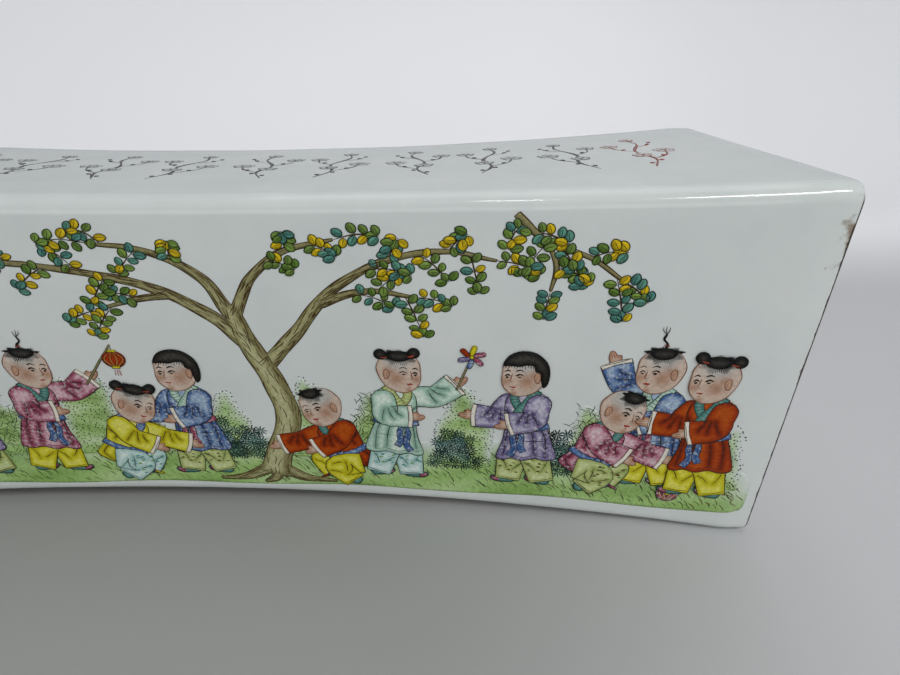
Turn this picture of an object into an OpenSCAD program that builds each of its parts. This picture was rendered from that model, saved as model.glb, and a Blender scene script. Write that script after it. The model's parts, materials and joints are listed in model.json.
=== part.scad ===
// Slab-built porcelain pillow: four long slabs with hollowed faces, mitred and luted to
// each other, closed by two square end slabs, with clay strips pressed into the inside
// corners. It is hollow and stands on the flat lower edges of its ends.
// +X runs along the length, -Y is the front, +Z is up.
// The origin lies on the resting plane, under the middle of the pillow.

/* [Overall size] */
// Length over the two end faces
pillow_length = 450; // [320:5:600]
// Depth from front to back at the ends
pillow_depth = 118; // [90:1:160]
// Height at the ends
pillow_height = 122; // [90:1:160]

/* [Hollowed faces] */
// How far the seat dips at the middle
seat_dip = 8; // [2:0.5:16]
// How far the base arches up at the middle
base_rise = 5; // [2:0.5:12]
// How far the front draws in at the middle
front_waist = 16; // [4:0.5:22]
// How far the back draws in at the middle
back_waist = 16; // [4:0.5:22]

/* [Slabs] */
// Thickness of the seat, base, front and back slabs
slab_thickness = 7; // [5:0.5:12]
// Thickness of the two end slabs
end_thickness = 8; // [5:0.5:14]
// Radius of the rolled long edges
edge_radius = 5; // [2:0.5:8]

/* [Luting strips] */
// Leg of the clay strip in each inside corner
strip_leg = 9; // [5:0.5:14]
// How deep the strip is pressed in, as a share of its leg
strip_press = 0.3; // [0.1:0.05:0.45]

/* [Firing vents] */
// Diameter of the vent through each end
vent_diameter = 10; // [4:0.5:20]
// Height of the vent above the resting plane
vent_height = 61; // [45:1:75]

/* [Hidden] */

glaze_colour = "#dbe2df";
clay_colour = "#e9e0d2";

// Directions that the four long faces look in, as angles in the Y-Z section
back_facing = 0;
seat_facing = 90;
front_facing = 180;
base_facing = 270;

// Smoothness: steps along the length, along half of a rolled edge, and across a strip
length_steps = 36;
edge_steps = 5;
strip_steps = 5;
circle_steps = 64;

// Plane where the long slabs butt against the inner face of an end slab
joint_x = pillow_length / 2 - end_thickness;
// An end strip covers the last stretch of the long slabs, so a section is placed at its edge
end_strip_x = joint_x - strip_leg;
stations = concat(
    [-joint_x],
    [for (i = [0:length_steps]) end_strip_x * (2 * i / length_steps - 1)],
    [joint_x]
);
// Overlap that lets a cutting tool run clear of the faces it cuts
cut_clear = 1;
// Room between the end strips and the long strips they meet
strip_gap = 0.2;

// Depth at x of a circular hollow that is `depth` deep at the middle and ends at the joints
function hollow(x, depth) =
    let (bend = (joint_x * joint_x + depth * depth) / (2 * depth))
    depth - bend + sqrt(bend * bend - x * x);

function front_y(x) = -pillow_depth / 2 + hollow(x, front_waist);
function back_y(x) = pillow_depth / 2 - hollow(x, back_waist);
function seat_z(x) = pillow_height - hollow(x, seat_dip);
function base_z(x) = hollow(x, base_rise);

// Point `inset` inside the sharp corner of the section at x, for the corner at that angle
function corner(x, angle, inset) = [
    cos(angle) > 0 ? back_y(x) - inset : front_y(x) + inset,
    sin(angle) > 0 ? seat_z(x) - inset : base_z(x) + inset
];

// Part of a rolled edge, from one angle to the next
function rolled_edge(x, corner_angle, from, to) = [
    for (i = [0:edge_steps])
        let (a = from + (to - from) * i / edge_steps)
        corner(x, corner_angle, edge_radius) + edge_radius * [cos(a), sin(a)]
];

// Section of the slab that looks in the direction `facing`: its outer face between the
// middles of two rolled edges, and its inner face, with a mitre at each side
function slab_section(x, facing) = concat(
    rolled_edge(x, facing - 45, facing - 45, facing),
    rolled_edge(x, facing + 45, facing, facing + 45),
    [corner(x, facing + 45, slab_thickness), corner(x, facing - 45, slab_thickness)]
);

// Curve across a pressed strip, from the tip of one leg to the tip of the other
function pressed_curve(root, tip_a, tip_b) =
    let (pull = root + strip_press * (tip_a + tip_b - 2 * root))
    [for (i = [0:strip_steps])
        let (t = i / strip_steps)
        (1 - t) * (1 - t) * tip_a + 2 * t * (1 - t) * pull + t * t * tip_b];

// Section of the strip in the inside corner at that angle, turning anticlockwise
function strip_section(x, angle) =
    let (
        root = corner(x, angle, slab_thickness),
        across = [cos(angle) > 0 ? -strip_leg : strip_leg, 0],
        along = [0, sin(angle) > 0 ? -strip_leg : strip_leg],
        turns_left = across.x * along.y > 0
    )
    concat([root], turns_left
        ? pressed_curve(root, root + across, root + along)
        : pressed_curve(root, root + along, root + across));

// Closed skin over a row of rings with equal numbers of points, first ring to last
module loft(rings) {
    count = len(rings[0]);
    last = (len(rings) - 1) * count;
    polyhedron(
        points = [for (ring = rings) each ring],
        faces = concat(
            [[for (j = [0:count - 1]) j]],
            [for (i = [0:len(rings) - 2], j = [0:count - 1])
                let (a = i * count, b = a + count, k = (j + 1) % count)
                [a + j, b + j, b + k, a + k]],
            [[for (j = [count - 1:-1:0]) last + j]]
        )
    );
}

module long_slab(facing) {
    loft([for (x = stations) [for (p = slab_section(x, facing)) [x, p.x, p.y]]]);
}

module long_strip(angle) {
    loft([for (x = stations) [for (p = strip_section(x, angle)) [x, p.x, p.y]]]);
}

module rounded_rectangle(width, height, radius) {
    translate([-width / 2 + radius, 0]) square([width - 2 * radius, height]);
    translate([-width / 2, radius]) square([width, height - 2 * radius]);
    for (side = [-1, 1], z = [radius, height - radius])
        translate([side * (width / 2 - radius), z]) circle(radius, $fn = circle_steps);
}

// End slab on the +X side: square, with rolled corners and a vent
module end_slab() {
    difference() {
        translate([joint_x, 0, 0])
            rotate([90, 0, 90])
                linear_extrude(end_thickness)
                    rounded_rectangle(pillow_depth, pillow_height, edge_radius);
        translate([joint_x - cut_clear, 0, vent_height])
            rotate([0, 90, 0])
                cylinder(h = end_thickness + 2 * cut_clear, d = vent_diameter, $fn = circle_steps);
    }
}

// Strips around the inner face of the +X end slab, clear of the four long strips
module end_strips() {
    reach = slab_thickness + strip_leg + strip_gap;
    low_z = base_z(end_strip_x) + reach;
    high_z = seat_z(end_strip_x) - reach;
    near_y = front_y(end_strip_x) + reach;
    far_y = back_y(end_strip_x) - reach;

    // Strips under the seat and on the base, in the X-Z plane, running across
    for (facing = [seat_facing, base_facing]) {
        inner_z = facing == seat_facing ? -slab_thickness : slab_thickness;
        leg_z = facing == seat_facing ? -strip_leg : strip_leg;
        edge_z = [for (x = [joint_x, end_strip_x])
            (facing == seat_facing ? seat_z(x) : base_z(x)) + inner_z];
        root = [joint_x, edge_z[0]];
        curve = pressed_curve(root, [end_strip_x, edge_z[1]], root + [0, leg_z]);
        ring = concat([root], facing == seat_facing ? curve : [for (i = [strip_steps:-1:0]) curve[i]]);
        loft([for (y = [far_y, near_y]) [for (p = ring) [p.x, y, p.y]]]);
    }

    // Strips on the front and back, in the X-Y plane, running up
    for (facing = [front_facing, back_facing]) {
        inner_y = facing == front_facing ? slab_thickness : -slab_thickness;
        leg_y = facing == front_facing ? strip_leg : -strip_leg;
        edge_y = [for (x = [joint_x, end_strip_x])
            (facing == front_facing ? front_y(x) : back_y(x)) + inner_y];
        root = [joint_x, edge_y[0]];
        curve = pressed_curve(root, [end_strip_x, edge_y[1]], root + [0, leg_y]);
        ring = concat([root], facing == back_facing ? curve : [for (i = [strip_steps:-1:0]) curve[i]]);
        loft([for (z = [low_z, high_z]) [for (p = ring) [p.x, p.y, z]]]);
    }
}

module seat_slab() { color(glaze_colour) long_slab(seat_facing); }
module base_slab() { color(glaze_colour) long_slab(base_facing); }
module front_slab() { color(glaze_colour) long_slab(front_facing); }
module back_slab() { color(glaze_colour) long_slab(back_facing); }
module right_end_slab() { color(glaze_colour) end_slab(); }
module left_end_slab() { color(glaze_colour) mirror([1, 0, 0]) end_slab(); }
module front_seat_strip() { color(clay_colour) long_strip(seat_facing + 45); }
module back_seat_strip() { color(clay_colour) long_strip(seat_facing - 45); }
module front_base_strip() { color(clay_colour) long_strip(base_facing - 45); }
module back_base_strip() { color(clay_colour) long_strip(base_facing + 45); }
module right_end_strips() { color(clay_colour) end_strips(); }
module left_end_strips() { color(clay_colour) mirror([1, 0, 0]) end_strips(); }

seat_slab();
base_slab();
front_slab();
back_slab();
left_end_slab();
right_end_slab();
front_seat_strip();
back_seat_strip();
front_base_strip();
back_base_strip();
left_end_strips();
right_end_strips();
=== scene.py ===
"""Looks of a slab-built porcelain pillow: glaze, worn edges and overglaze enamel painting.

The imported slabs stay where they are, under a coat of glaze. The painting is drawn flat on a straight
blank of the pillow, and the rule that hollows the coat then bends it onto the body. Sizes are in
millimetres where nothing else is said, and meshes are made in metres.
"""

import json
import logging
import math
import random
from dataclasses import dataclass, field
from enum import Enum
from functools import partial
from typing import Any, Callable, Optional, Sequence

import bmesh
import bpy
import numpy as np
from mathutils import Matrix, Vector
from mathutils.geometry import delaunay_2d_cdt

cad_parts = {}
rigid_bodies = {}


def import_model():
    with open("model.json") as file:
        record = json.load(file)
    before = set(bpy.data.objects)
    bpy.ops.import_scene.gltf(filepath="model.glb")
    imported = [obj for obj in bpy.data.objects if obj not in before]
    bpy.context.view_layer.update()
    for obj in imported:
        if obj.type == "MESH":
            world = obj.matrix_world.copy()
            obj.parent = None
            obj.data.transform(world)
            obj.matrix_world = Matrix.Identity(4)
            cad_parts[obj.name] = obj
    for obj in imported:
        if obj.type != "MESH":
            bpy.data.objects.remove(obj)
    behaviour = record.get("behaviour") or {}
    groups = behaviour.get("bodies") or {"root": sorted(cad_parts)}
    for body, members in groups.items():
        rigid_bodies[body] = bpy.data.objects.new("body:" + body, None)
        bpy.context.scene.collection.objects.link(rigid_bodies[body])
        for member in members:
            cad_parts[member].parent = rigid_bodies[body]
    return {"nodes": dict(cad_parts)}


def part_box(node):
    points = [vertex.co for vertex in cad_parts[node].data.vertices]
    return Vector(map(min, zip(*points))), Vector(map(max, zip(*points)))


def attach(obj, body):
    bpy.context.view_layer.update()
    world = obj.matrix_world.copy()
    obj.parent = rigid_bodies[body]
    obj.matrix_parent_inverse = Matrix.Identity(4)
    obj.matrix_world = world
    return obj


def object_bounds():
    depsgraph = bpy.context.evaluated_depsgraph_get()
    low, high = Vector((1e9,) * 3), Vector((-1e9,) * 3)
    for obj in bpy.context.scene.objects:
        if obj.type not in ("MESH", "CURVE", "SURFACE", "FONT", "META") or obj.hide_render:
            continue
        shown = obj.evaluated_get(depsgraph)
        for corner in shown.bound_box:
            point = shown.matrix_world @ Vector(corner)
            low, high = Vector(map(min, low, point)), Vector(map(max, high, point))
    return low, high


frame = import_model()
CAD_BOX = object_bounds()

LOG = logging.getLogger("porcelain_pillow")
MM = 0.001
BODY = "root"

# Kinds of node that the trees use many times
NOISE = "ShaderNodeTexNoise"
MIX = "ShaderNodeMix"
RANGE = "ShaderNodeMapRange"
MATH = "ShaderNodeMath"
VECTOR = "ShaderNodeVectorMath"
SHADER = "ShaderNodeBsdfPrincipled"
ATTRIBUTE = "GeometryNodeInputNamedAttribute"
# Inputs of a colour mix
FROM, TO = 6, 7

Colour = tuple[float, float, float, float]
Pair = tuple[float, float]
Triple = tuple[float, float, float]
Array = np.ndarray
Points = Sequence[Sequence[float]]
Shade = Callable[[Array, Array], Array]
Material = bpy.types.Material
Node = bpy.types.Node
NodeTree = bpy.types.NodeTree
Piece = bpy.types.Object


def linear(code: str) -> Colour:
    """Turn an sRGB hex code into a linear colour.

    Args:
        code: Six hex digits, with or without a leading mark.

    Returns:
        Red, green, blue and an opaque alpha.
    """
    digits = code.lstrip("#")
    parts = [int(digits[i:i + 2], 16) / 255 for i in (0, 2, 4)]
    return (*(c / 12.92 if c <= 0.04045 else ((c + 0.055) / 1.055) ** 2.4 for c in parts), 1.0)


def tone(code: str) -> Array:
    """Return the linear red, green and blue of a hex code."""
    return np.array(linear(code)[:3])


INK = "#2a2019"
FLESH_INK = "#7c4630"
RED_INK = "#a8442e"
WHITE = "#ffffff"
GLAZE_TONE = tone("#d2d8d4")


def add_node(tree: NodeTree, kind: str, links: Any = (), operation: str = "", **settings: Any) -> Node:
    """Add a node with its settings, its values and its links.

    Args:
        tree: Tree that gets the node.
        kind: Node type.
        links: What goes into its inputs: in order, or by their name or number. A socket is linked, and
            so is the first output that a node has in use. Anything else is set as the input's value.
        operation: What a node that calculates does.
        settings: Other properties.

    Returns:
        The new node.
    """
    node = tree.nodes.new(kind)
    if operation:
        node.operation = operation
    for name, value in settings.items():
        setattr(node, name, value)
    for key, value in links.items() if isinstance(links, dict) else enumerate(links):
        if isinstance(value, Node):
            value = next(socket for socket in value.outputs if socket.enabled)
        if isinstance(value, bpy.types.NodeSocket):
            tree.links.new(value, node.inputs[key])
        else:
            node.inputs[key].default_value = value
    return node


def new_material(name: str) -> tuple[Material, Callable[..., Node], bpy.types.NodeSocket]:
    """Make a material with an empty tree.

    Args:
        name: Name of the finish.

    Returns:
        The material, add_node for its tree, and the socket that gives Object coordinates.
    """
    material = bpy.data.materials.new(name)
    material.use_nodes = True
    material.node_tree.nodes.clear()
    add = partial(add_node, material.node_tree)
    return material, add, add("ShaderNodeTexCoord").outputs["Object"]


def new_tree(name: str, inputs: dict[str, str]) -> tuple[NodeTree, Callable[..., Node], Any]:
    """Make a tree that changes geometry.

    Args:
        name: Name of the tree.
        inputs: Names and kinds of its inputs, after the geometry.

    Returns:
        The tree, add_node for it, and the sockets that give its inputs.
    """
    tree = bpy.data.node_groups.new(name, "GeometryNodeTree")
    for label, kind in {"Geometry": "Geometry", **inputs}.items():
        tree.interface.new_socket(name=label, in_out="INPUT", socket_type=f"NodeSocket{kind}")
    tree.interface.new_socket(name="Geometry", in_out="OUTPUT", socket_type="NodeSocketGeometry")
    add = partial(add_node, tree)
    return tree, add, add("NodeGroupInput").outputs


def add_modifier(piece: Piece, tree: NodeTree, inputs: dict[str, Any]) -> None:
    """Let a tree change a piece.

    Args:
        piece: Piece that gets the modifier.
        tree: Tree that the modifier runs.
        inputs: Values of the tree's inputs, by name.
    """
    modifier = piece.modifiers.new(tree.name, "NODES")
    modifier.node_group = tree
    for item in tree.interface.items_tree:
        if item.in_out == "INPUT" and item.name in inputs:
            modifier[item.identifier] = inputs[item.name]


def mesh_object(name: str, points: Array, faces: Sequence[Sequence[int]]) -> Piece:
    """Make a smooth mesh object.

    Args:
        name: Name of the piece.
        points: One row of x, y and z for each point.
        faces: Point numbers of each face, turning anticlockwise seen from outside.

    Returns:
        The object, at the origin, linked to the scene.
    """
    mesh = bpy.data.meshes.new(name)
    mesh.from_pydata((points * MM).tolist(), [], faces)
    mesh.polygons.foreach_set("use_smooth", [True] * len(mesh.polygons))
    mesh.update()
    piece = bpy.data.objects.new(name, mesh)
    bpy.context.scene.collection.objects.link(piece)
    return piece


def settle(piece: Piece) -> Piece:
    """Turn a piece with modifiers into a plain mesh.

    Args:
        piece: Object whose modifiers are evaluated and removed.

    Returns:
        The same object.
    """
    evaluated = piece.evaluated_get(bpy.context.evaluated_depsgraph_get())
    piece.data = bpy.data.meshes.new_from_object(evaluated)
    piece.modifiers.clear()
    return piece


def hand_in(piece: Piece) -> None:
    """Ride a finished piece on the body and report it.

    Args:
        piece: Finished piece.
    """
    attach(piece, BODY)
    LOG.info("%s: %d faces", piece.name, len(piece.data.polygons))


@dataclass(frozen=True)
class GlazeFinish:
    """Clear feldspar glaze, blue-grey where it pools, fired over white porcelain."""

    pale: str = "#e1e4e0"
    deep: str = "#c7cfcc"
    iron: str = "#6d675c"
    burnt: str = "#3a2a20"
    stain: str = "#7d6647"
    pool_size: float = 26.0
    speck_gap: float = 11.0
    patch_size: float = 6.0
    dimple: float = 2.5
    burnt_width: Pair = (0.5, 0.9)
    hairline_edge: float = 0.12
    # Distances from the end arrises: outwards to the end face, and inwards over the smears
    face_out: Pair = (0.32, 0.35)
    smears_in: Pair = (9.0, 4.0)
    dense_in: float = 6.0
    # Heights between which the hairline and the smears end under the seat
    clean_from: Pair = (117.5, 120.0)
    # Heights between which hands have left more and more smears
    held_from: Pair = (80.0, 112.0)

    def material(self, end_x: float) -> Material:
        """Build the finish.

        Args:
            end_x: Distance from the middle to the end arrises.

        Returns:
            The material.
        """
        material, add, place = new_material("porcelain_glaze")
        # Glaze runs a little thicker in places, which shows as cooler, greener cloudiness
        pool = add(NOISE, {
            "Vector": place, "Scale": 1 / (self.pool_size * MM), "Detail": 5.0, "Roughness": 0.6})
        body = add(MIX, {0: pool, FROM: linear(self.pale), TO: linear(self.deep)}, data_type="RGBA")
        # Iron specks in the clay come through as sparse pin points
        cells = add("ShaderNodeTexVoronoi", {"Vector": place, "Scale": 1 / (self.speck_gap * MM)})
        chance = add("ShaderNodeSeparateColor", [cells.outputs["Color"]])
        size = add(RANGE, [chance, 0.55, 1.0, 0.0, 0.03])
        speck = add(MATH, [cells, size], "LESS_THAN")
        specked = add(MIX, {0: speck, FROM: body, TO: linear(self.iron)}, data_type="RGBA")
        # On the sharp end arrises the glaze draws thin and the clay burns to a dark hairline
        axes = add("ShaderNodeSeparateXYZ", [place]).outputs
        reach = add(MATH, [axes["X"]], "ABSOLUTE")
        patches = add(NOISE, {
            "Vector": place, "Scale": 1 / (self.patch_size * MM), "Detail": 3.0, "Roughness": 0.6})
        width = add(RANGE, [patches, 0.42, 0.75, *(w * MM for w in self.burnt_width)])
        past = add(MATH, [reach, width], "ADD")
        worn = add(RANGE, [past, end_x * MM, (end_x + self.hairline_edge) * MM])
        off_end = add(RANGE, [reach, *((end_x + d) * MM for d in self.face_out), 1.0, 0.0])
        below = add(RANGE, [axes["Z"], *(z * MM for z in self.clean_from), 1.0, 0.0])
        handled = add(MATH, [off_end, below], "MULTIPLY")
        hairline = add(MATH, [worn, handled], "MULTIPLY")
        # Handling leaves brown smears beside those arrises
        close = add(RANGE, [reach, (end_x - self.dense_in) * MM, end_x * MM, -0.14, 0.09])
        high = add(RANGE, [axes["Z"], *(z * MM for z in self.held_from), -0.02, 0.17])
        held = add(MATH, [close, high], "ADD")
        grime = add(MATH, [patches, held], "ADD")
        patch = add(RANGE, [grime, 0.66, 0.8, 0.0, 0.85])
        beside = add(RANGE, [reach, *((end_x - d) * MM for d in self.smears_in)])
        gripped = add(MATH, [beside, handled], "MULTIPLY")
        smear = add(MATH, [patch, gripped], "MULTIPLY")
        stained = add(MIX, {0: smear, FROM: specked, TO: linear(self.stain)}, data_type="RGBA")
        colour = add(MIX, {0: hairline, FROM: stained, TO: linear(self.burnt)}, data_type="RGBA")
        # Orange-peel of a wood-fired glaze, drawn a little coarser than life so that it shows
        peel = add(NOISE, {"Vector": place, "Scale": 1 / (self.dimple * MM), "Detail": 2.0})
        bump = add("ShaderNodeBump", {"Height": peel, "Strength": 0.03, "Distance": 0.2 * MM})
        gloss = add(RANGE, [pool, 0.0, 1.0, 0.07, 0.13])
        shader = add(SHADER, {"Base Color": colour, "Roughness": gloss, "IOR": 1.5, "Normal": bump})
        add("ShaderNodeOutputMaterial", [shader])
        return material


@dataclass(frozen=True)
class BareClayFinish:
    """Unglazed porcelain clay, fired: a dry, faintly buff surface with fine grit and kiln flashing."""

    clay: str = "#e4dccd"
    flash: str = "#c9a481"
    grit: float = 0.8
    flash_size: float = 35.0

    def material(self) -> Material:
        """Build the finish.

        Returns:
            The material.
        """
        material, add, place = new_material("bare_porcelain_clay")
        kiln = add(NOISE, {"Vector": place, "Scale": 1 / (self.flash_size * MM), "Detail": 4.0})
        toasted = add(RANGE, [kiln, 0.5, 0.8, 0.0, 0.6])
        colour = add(MIX, {0: toasted, FROM: linear(self.clay), TO: linear(self.flash)}, data_type="RGBA")
        grit = add(NOISE, {"Vector": place, "Scale": 1 / (self.grit * MM), "Detail": 3.0})
        bump = add("ShaderNodeBump", {"Height": grit, "Strength": 0.35, "Distance": 0.15 * MM})
        shader = add(SHADER, {"Base Color": colour, "Roughness": 0.75, "IOR": 1.5, "Normal": bump})
        add("ShaderNodeOutputMaterial", [shader])
        return material


@dataclass(frozen=True)
class EnamelFinish:
    """Lead-glass overglaze enamel, glossy and a little uneven, with its colour from the drawing."""

    name: str = "overglaze_enamel"
    grain: float = 1.1
    fleck_size: float = 1.0
    fleck: str = "#dfe2e1"

    def material(self) -> Material:
        """Build the finish, or find it once it is built.

        Returns:
            The material.
        """
        if self.name in bpy.data.materials:
            return bpy.data.materials[self.name]
        material, add, place = new_material(self.name)
        drawn = add("ShaderNodeAttribute", attribute_name="enamel").outputs
        # Ground glass settles unevenly under the brush, so each wash is faintly streaked
        streak = add(NOISE, {"Vector": place, "Scale": 1 / (self.grain * MM), "Detail": 3.0})
        uneven = add(RANGE, [streak, 0.3, 0.7, 0.88, 1.1])
        thin = add(MATH, [drawn["Alpha"], 1.0], "SUBTRACT", use_clamp=True)
        strength = add(MIX, {0: thin, "A": uneven, "B": 1.0})
        colour = add(VECTOR, {0: drawn["Color"], "Scale": strength}, "SCALE")
        # Opaque white was stirred into some colours, and shows in them as flecks
        grit = add(NOISE, {
            "Vector": place, "Scale": 1 / (self.fleck_size * MM), "Detail": 3.0, "Roughness": 0.6})
        spread = add(RANGE, [grit, 0.5, 0.68])
        stirred = add(MATH, [1.0, drawn["Alpha"]], "SUBTRACT")
        share = add(MATH, [spread, stirred], "MULTIPLY")
        flecked = add(MIX, {0: share, FROM: colour, TO: linear(self.fleck)}, data_type="RGBA")
        bump = add("ShaderNodeBump", {"Height": streak, "Strength": 0.15, "Distance": 0.06 * MM})
        gloss = add(RANGE, [streak, 0.0, 1.0, 0.2, 0.34])
        shader = add(SHADER, {"Base Color": flecked, "Roughness": gloss, "IOR": 1.5,
                              "Specular IOR Level": 0.15, "Normal": bump})
        add("ShaderNodeOutputMaterial", [shader])
        return material


@dataclass(frozen=True)
class FloorFinish:
    """Matt paper sweep: grey-white, with a painted shadow close in front of the pillow, and whiter towards
    the back.

    A pair of sizes is where a change starts and where it ends.
    """

    # The near tone is a painted shadow, darkest in an oval close in front of the pillow
    near: str = "#a1a29f"
    flat: str = "#cbcbcc"
    hanging: str = "#dcdcdf"
    whiter_y: Pair = (150.0, 340.0)
    shadow_middle: Triple = (0.0, -110.0, 0.0)
    shadow_shape: Triple = (0.6, 1.0, 1.0)
    shadow_reach: Pair = (60.0, 165.0)
    glow: float = 0.24
    glow_kept: float = 0.75
    glow_x: Pair = (200.0, 600.0)

    def material(self) -> Material:
        """Build the finish.

        Returns:
            The material.
        """
        material, add, place = new_material("paper_sweep")
        axes = add("ShaderNodeSeparateXYZ", [place]).outputs
        smooth = {"interpolation_type": "SMOOTHSTEP"}
        share = add(RANGE, [axes["Y"], *(y * MM for y in self.whiter_y)], **smooth)
        # Painted shadow: the paper darkens to the near tone in an oval close in front of the pillow, and
        # clears past its reach
        shift = add(VECTOR, [place, [c * MM for c in self.shadow_middle]], "SUBTRACT")
        oval_shift = add(VECTOR, [shift, self.shadow_shape], "MULTIPLY")
        off = add(VECTOR, [oval_shift], "LENGTH")
        clear = add(RANGE, [off, *(r * MM for r in self.shadow_reach)], **smooth)
        shadowed_paper = add(MIX, {0: clear, FROM: linear(self.near), TO: linear(self.flat)}, data_type="RGBA")
        paper = add(MIX, {0: share, FROM: shadowed_paper, TO: linear(self.hanging)}, data_type="RGBA")
        # The camera sees the back of the sweep a little lighter than the lamps leave it
        seen = add("ShaderNodeLightPath").outputs["Is Camera Ray"]
        lift = add(MATH, [share, seen], "MULTIPLY")
        # Less of that glow is kept far to the right
        ends = (self.glow, self.glow_kept * self.glow)
        level = add(RANGE, [axes["X"], *(x * MM for x in self.glow_x), *ends], **smooth)
        glow = add(MATH, [lift, level], "MULTIPLY")
        shader = add(SHADER, {"Base Color": paper, "Roughness": 0.6, "Specular IOR Level": 0.25,
                              "Emission Color": linear(WHITE), "Emission Strength": glow})
        add("ShaderNodeOutputMaterial", [shader])
        return material


@dataclass
class HollowForm:
    """Rule that hollows a straight blank of the pillow on its four long sides."""

    length: float
    depth: float
    height: float
    joint_x: float
    edge_radius: float = 5.0
    seat_dip: float = 8.0
    base_rise: float = 5.0
    front_waist: float = 16.0
    back_waist: float = 16.0
    coat: float = 0.35
    wobble: float = 0.2
    wobble_length: float = 48.0
    tree: Optional[NodeTree] = None

    @classmethod
    def of_frame(cls) -> "HollowForm":
        """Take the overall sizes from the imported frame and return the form."""
        size = [(high - low) / MM for low, high in zip(*CAD_BOX)]
        return cls(*size, joint_x=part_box("seat_slab")[1][0] / MM)

    def build_tree(self) -> NodeTree:
        """Build the node tree that hollows a blank.

        Returns:
            The tree, whose inputs are the sizes of the form, in metres.
        """
        tree, add, given = new_tree("hollow_form", {
            "Joint X": "Float", "Middle": "Vector", "Straight part": "Vector", "Back and seat": "Vector",
            "Front and base": "Vector", "Wobble": "Float", "Wobbles per metre": "Float",
            "Finish": "Material"})
        place = add("GeometryNodeInputPosition")
        # Share of the full hollow at this point: all of it at the middle, none past the joints
        along = add("ShaderNodeSeparateXYZ", [place]).outputs["X"]
        ratio = add(MATH, [along, given["Joint X"]], "DIVIDE")
        square = add(MATH, [ratio, ratio], "MULTIPLY")
        share = add(MATH, [1.0, square], "SUBTRACT", use_clamp=True)
        # Which faces the point lies on: -1 to 1 across the flat part, held over the rolled edges
        offset = add(VECTOR, [place, given["Middle"]], "SUBTRACT")
        across = add(VECTOR, [offset, given["Straight part"]], "DIVIDE")
        upper = add(VECTOR, [across, (1, 1, 1)], "MINIMUM")
        rear = add(VECTOR, [upper, (0, 0, 0)], "MAXIMUM")
        lower = add(VECTOR, [across, (-1, -1, -1)], "MAXIMUM")
        fore = add(VECTOR, [lower, (0, 0, 0)], "MINIMUM")
        # Handmade unevenness, on every face but the base
        noise = add(NOISE, {"Vector": place, "Scale": given["Wobbles per metre"], "Detail": 1.0})
        centred = add(MATH, [noise, 0.5], "SUBTRACT")
        uneven = add(MATH, [centred, given["Wobble"]], "MULTIPLY")
        moves = []
        for faces, depth, felt in ((rear, "Back and seat", (0, 1, 1)), (fore, "Front and base", (0, 1, 0))):
            full = add(VECTOR, {0: given[depth], "Scale": share}, "SCALE")
            lumps = add(VECTOR, {0: felt, "Scale": uneven}, "SCALE")
            inward = add(VECTOR, [full, lumps], "ADD")
            moves.append(add(VECTOR, [faces, inward], "MULTIPLY"))
        both = add(VECTOR, moves, "ADD")
        drawn_in = add(VECTOR, {0: both, "Scale": -1.0}, "SCALE")
        bent = add("GeometryNodeSetPosition", {"Geometry": given["Geometry"], "Offset": drawn_in})
        real = add("GeometryNodeRealizeInstances", [bent])
        dressed = add("GeometryNodeSetMaterial", {"Geometry": real, "Material": given["Finish"]})
        add("NodeGroupOutput", [dressed])
        return tree

    def bend(self, blank: Piece, finish: Material) -> None:
        """Give a blank the modifier that hollows it and sets its finish.

        Args:
            blank: Object drawn on the straight form.
            finish: Material of the result.
        """
        if self.tree is None:
            self.tree = self.build_tree()
        half_height = self.height / 2
        add_modifier(blank, self.tree, {
            "Joint X": self.joint_x * MM,
            "Middle": (0, 0, half_height * MM),
            "Straight part": (1, (self.depth / 2 - self.edge_radius) * MM,
                              (half_height - self.edge_radius) * MM),
            "Back and seat": (0, self.back_waist * MM, self.seat_dip * MM),
            "Front and base": (0, self.front_waist * MM, self.base_rise * MM),
            "Wobble": 2 * self.wobble * MM,
            "Wobbles per metre": 1 / (self.wobble_length * MM),
            "Finish": finish})


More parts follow.
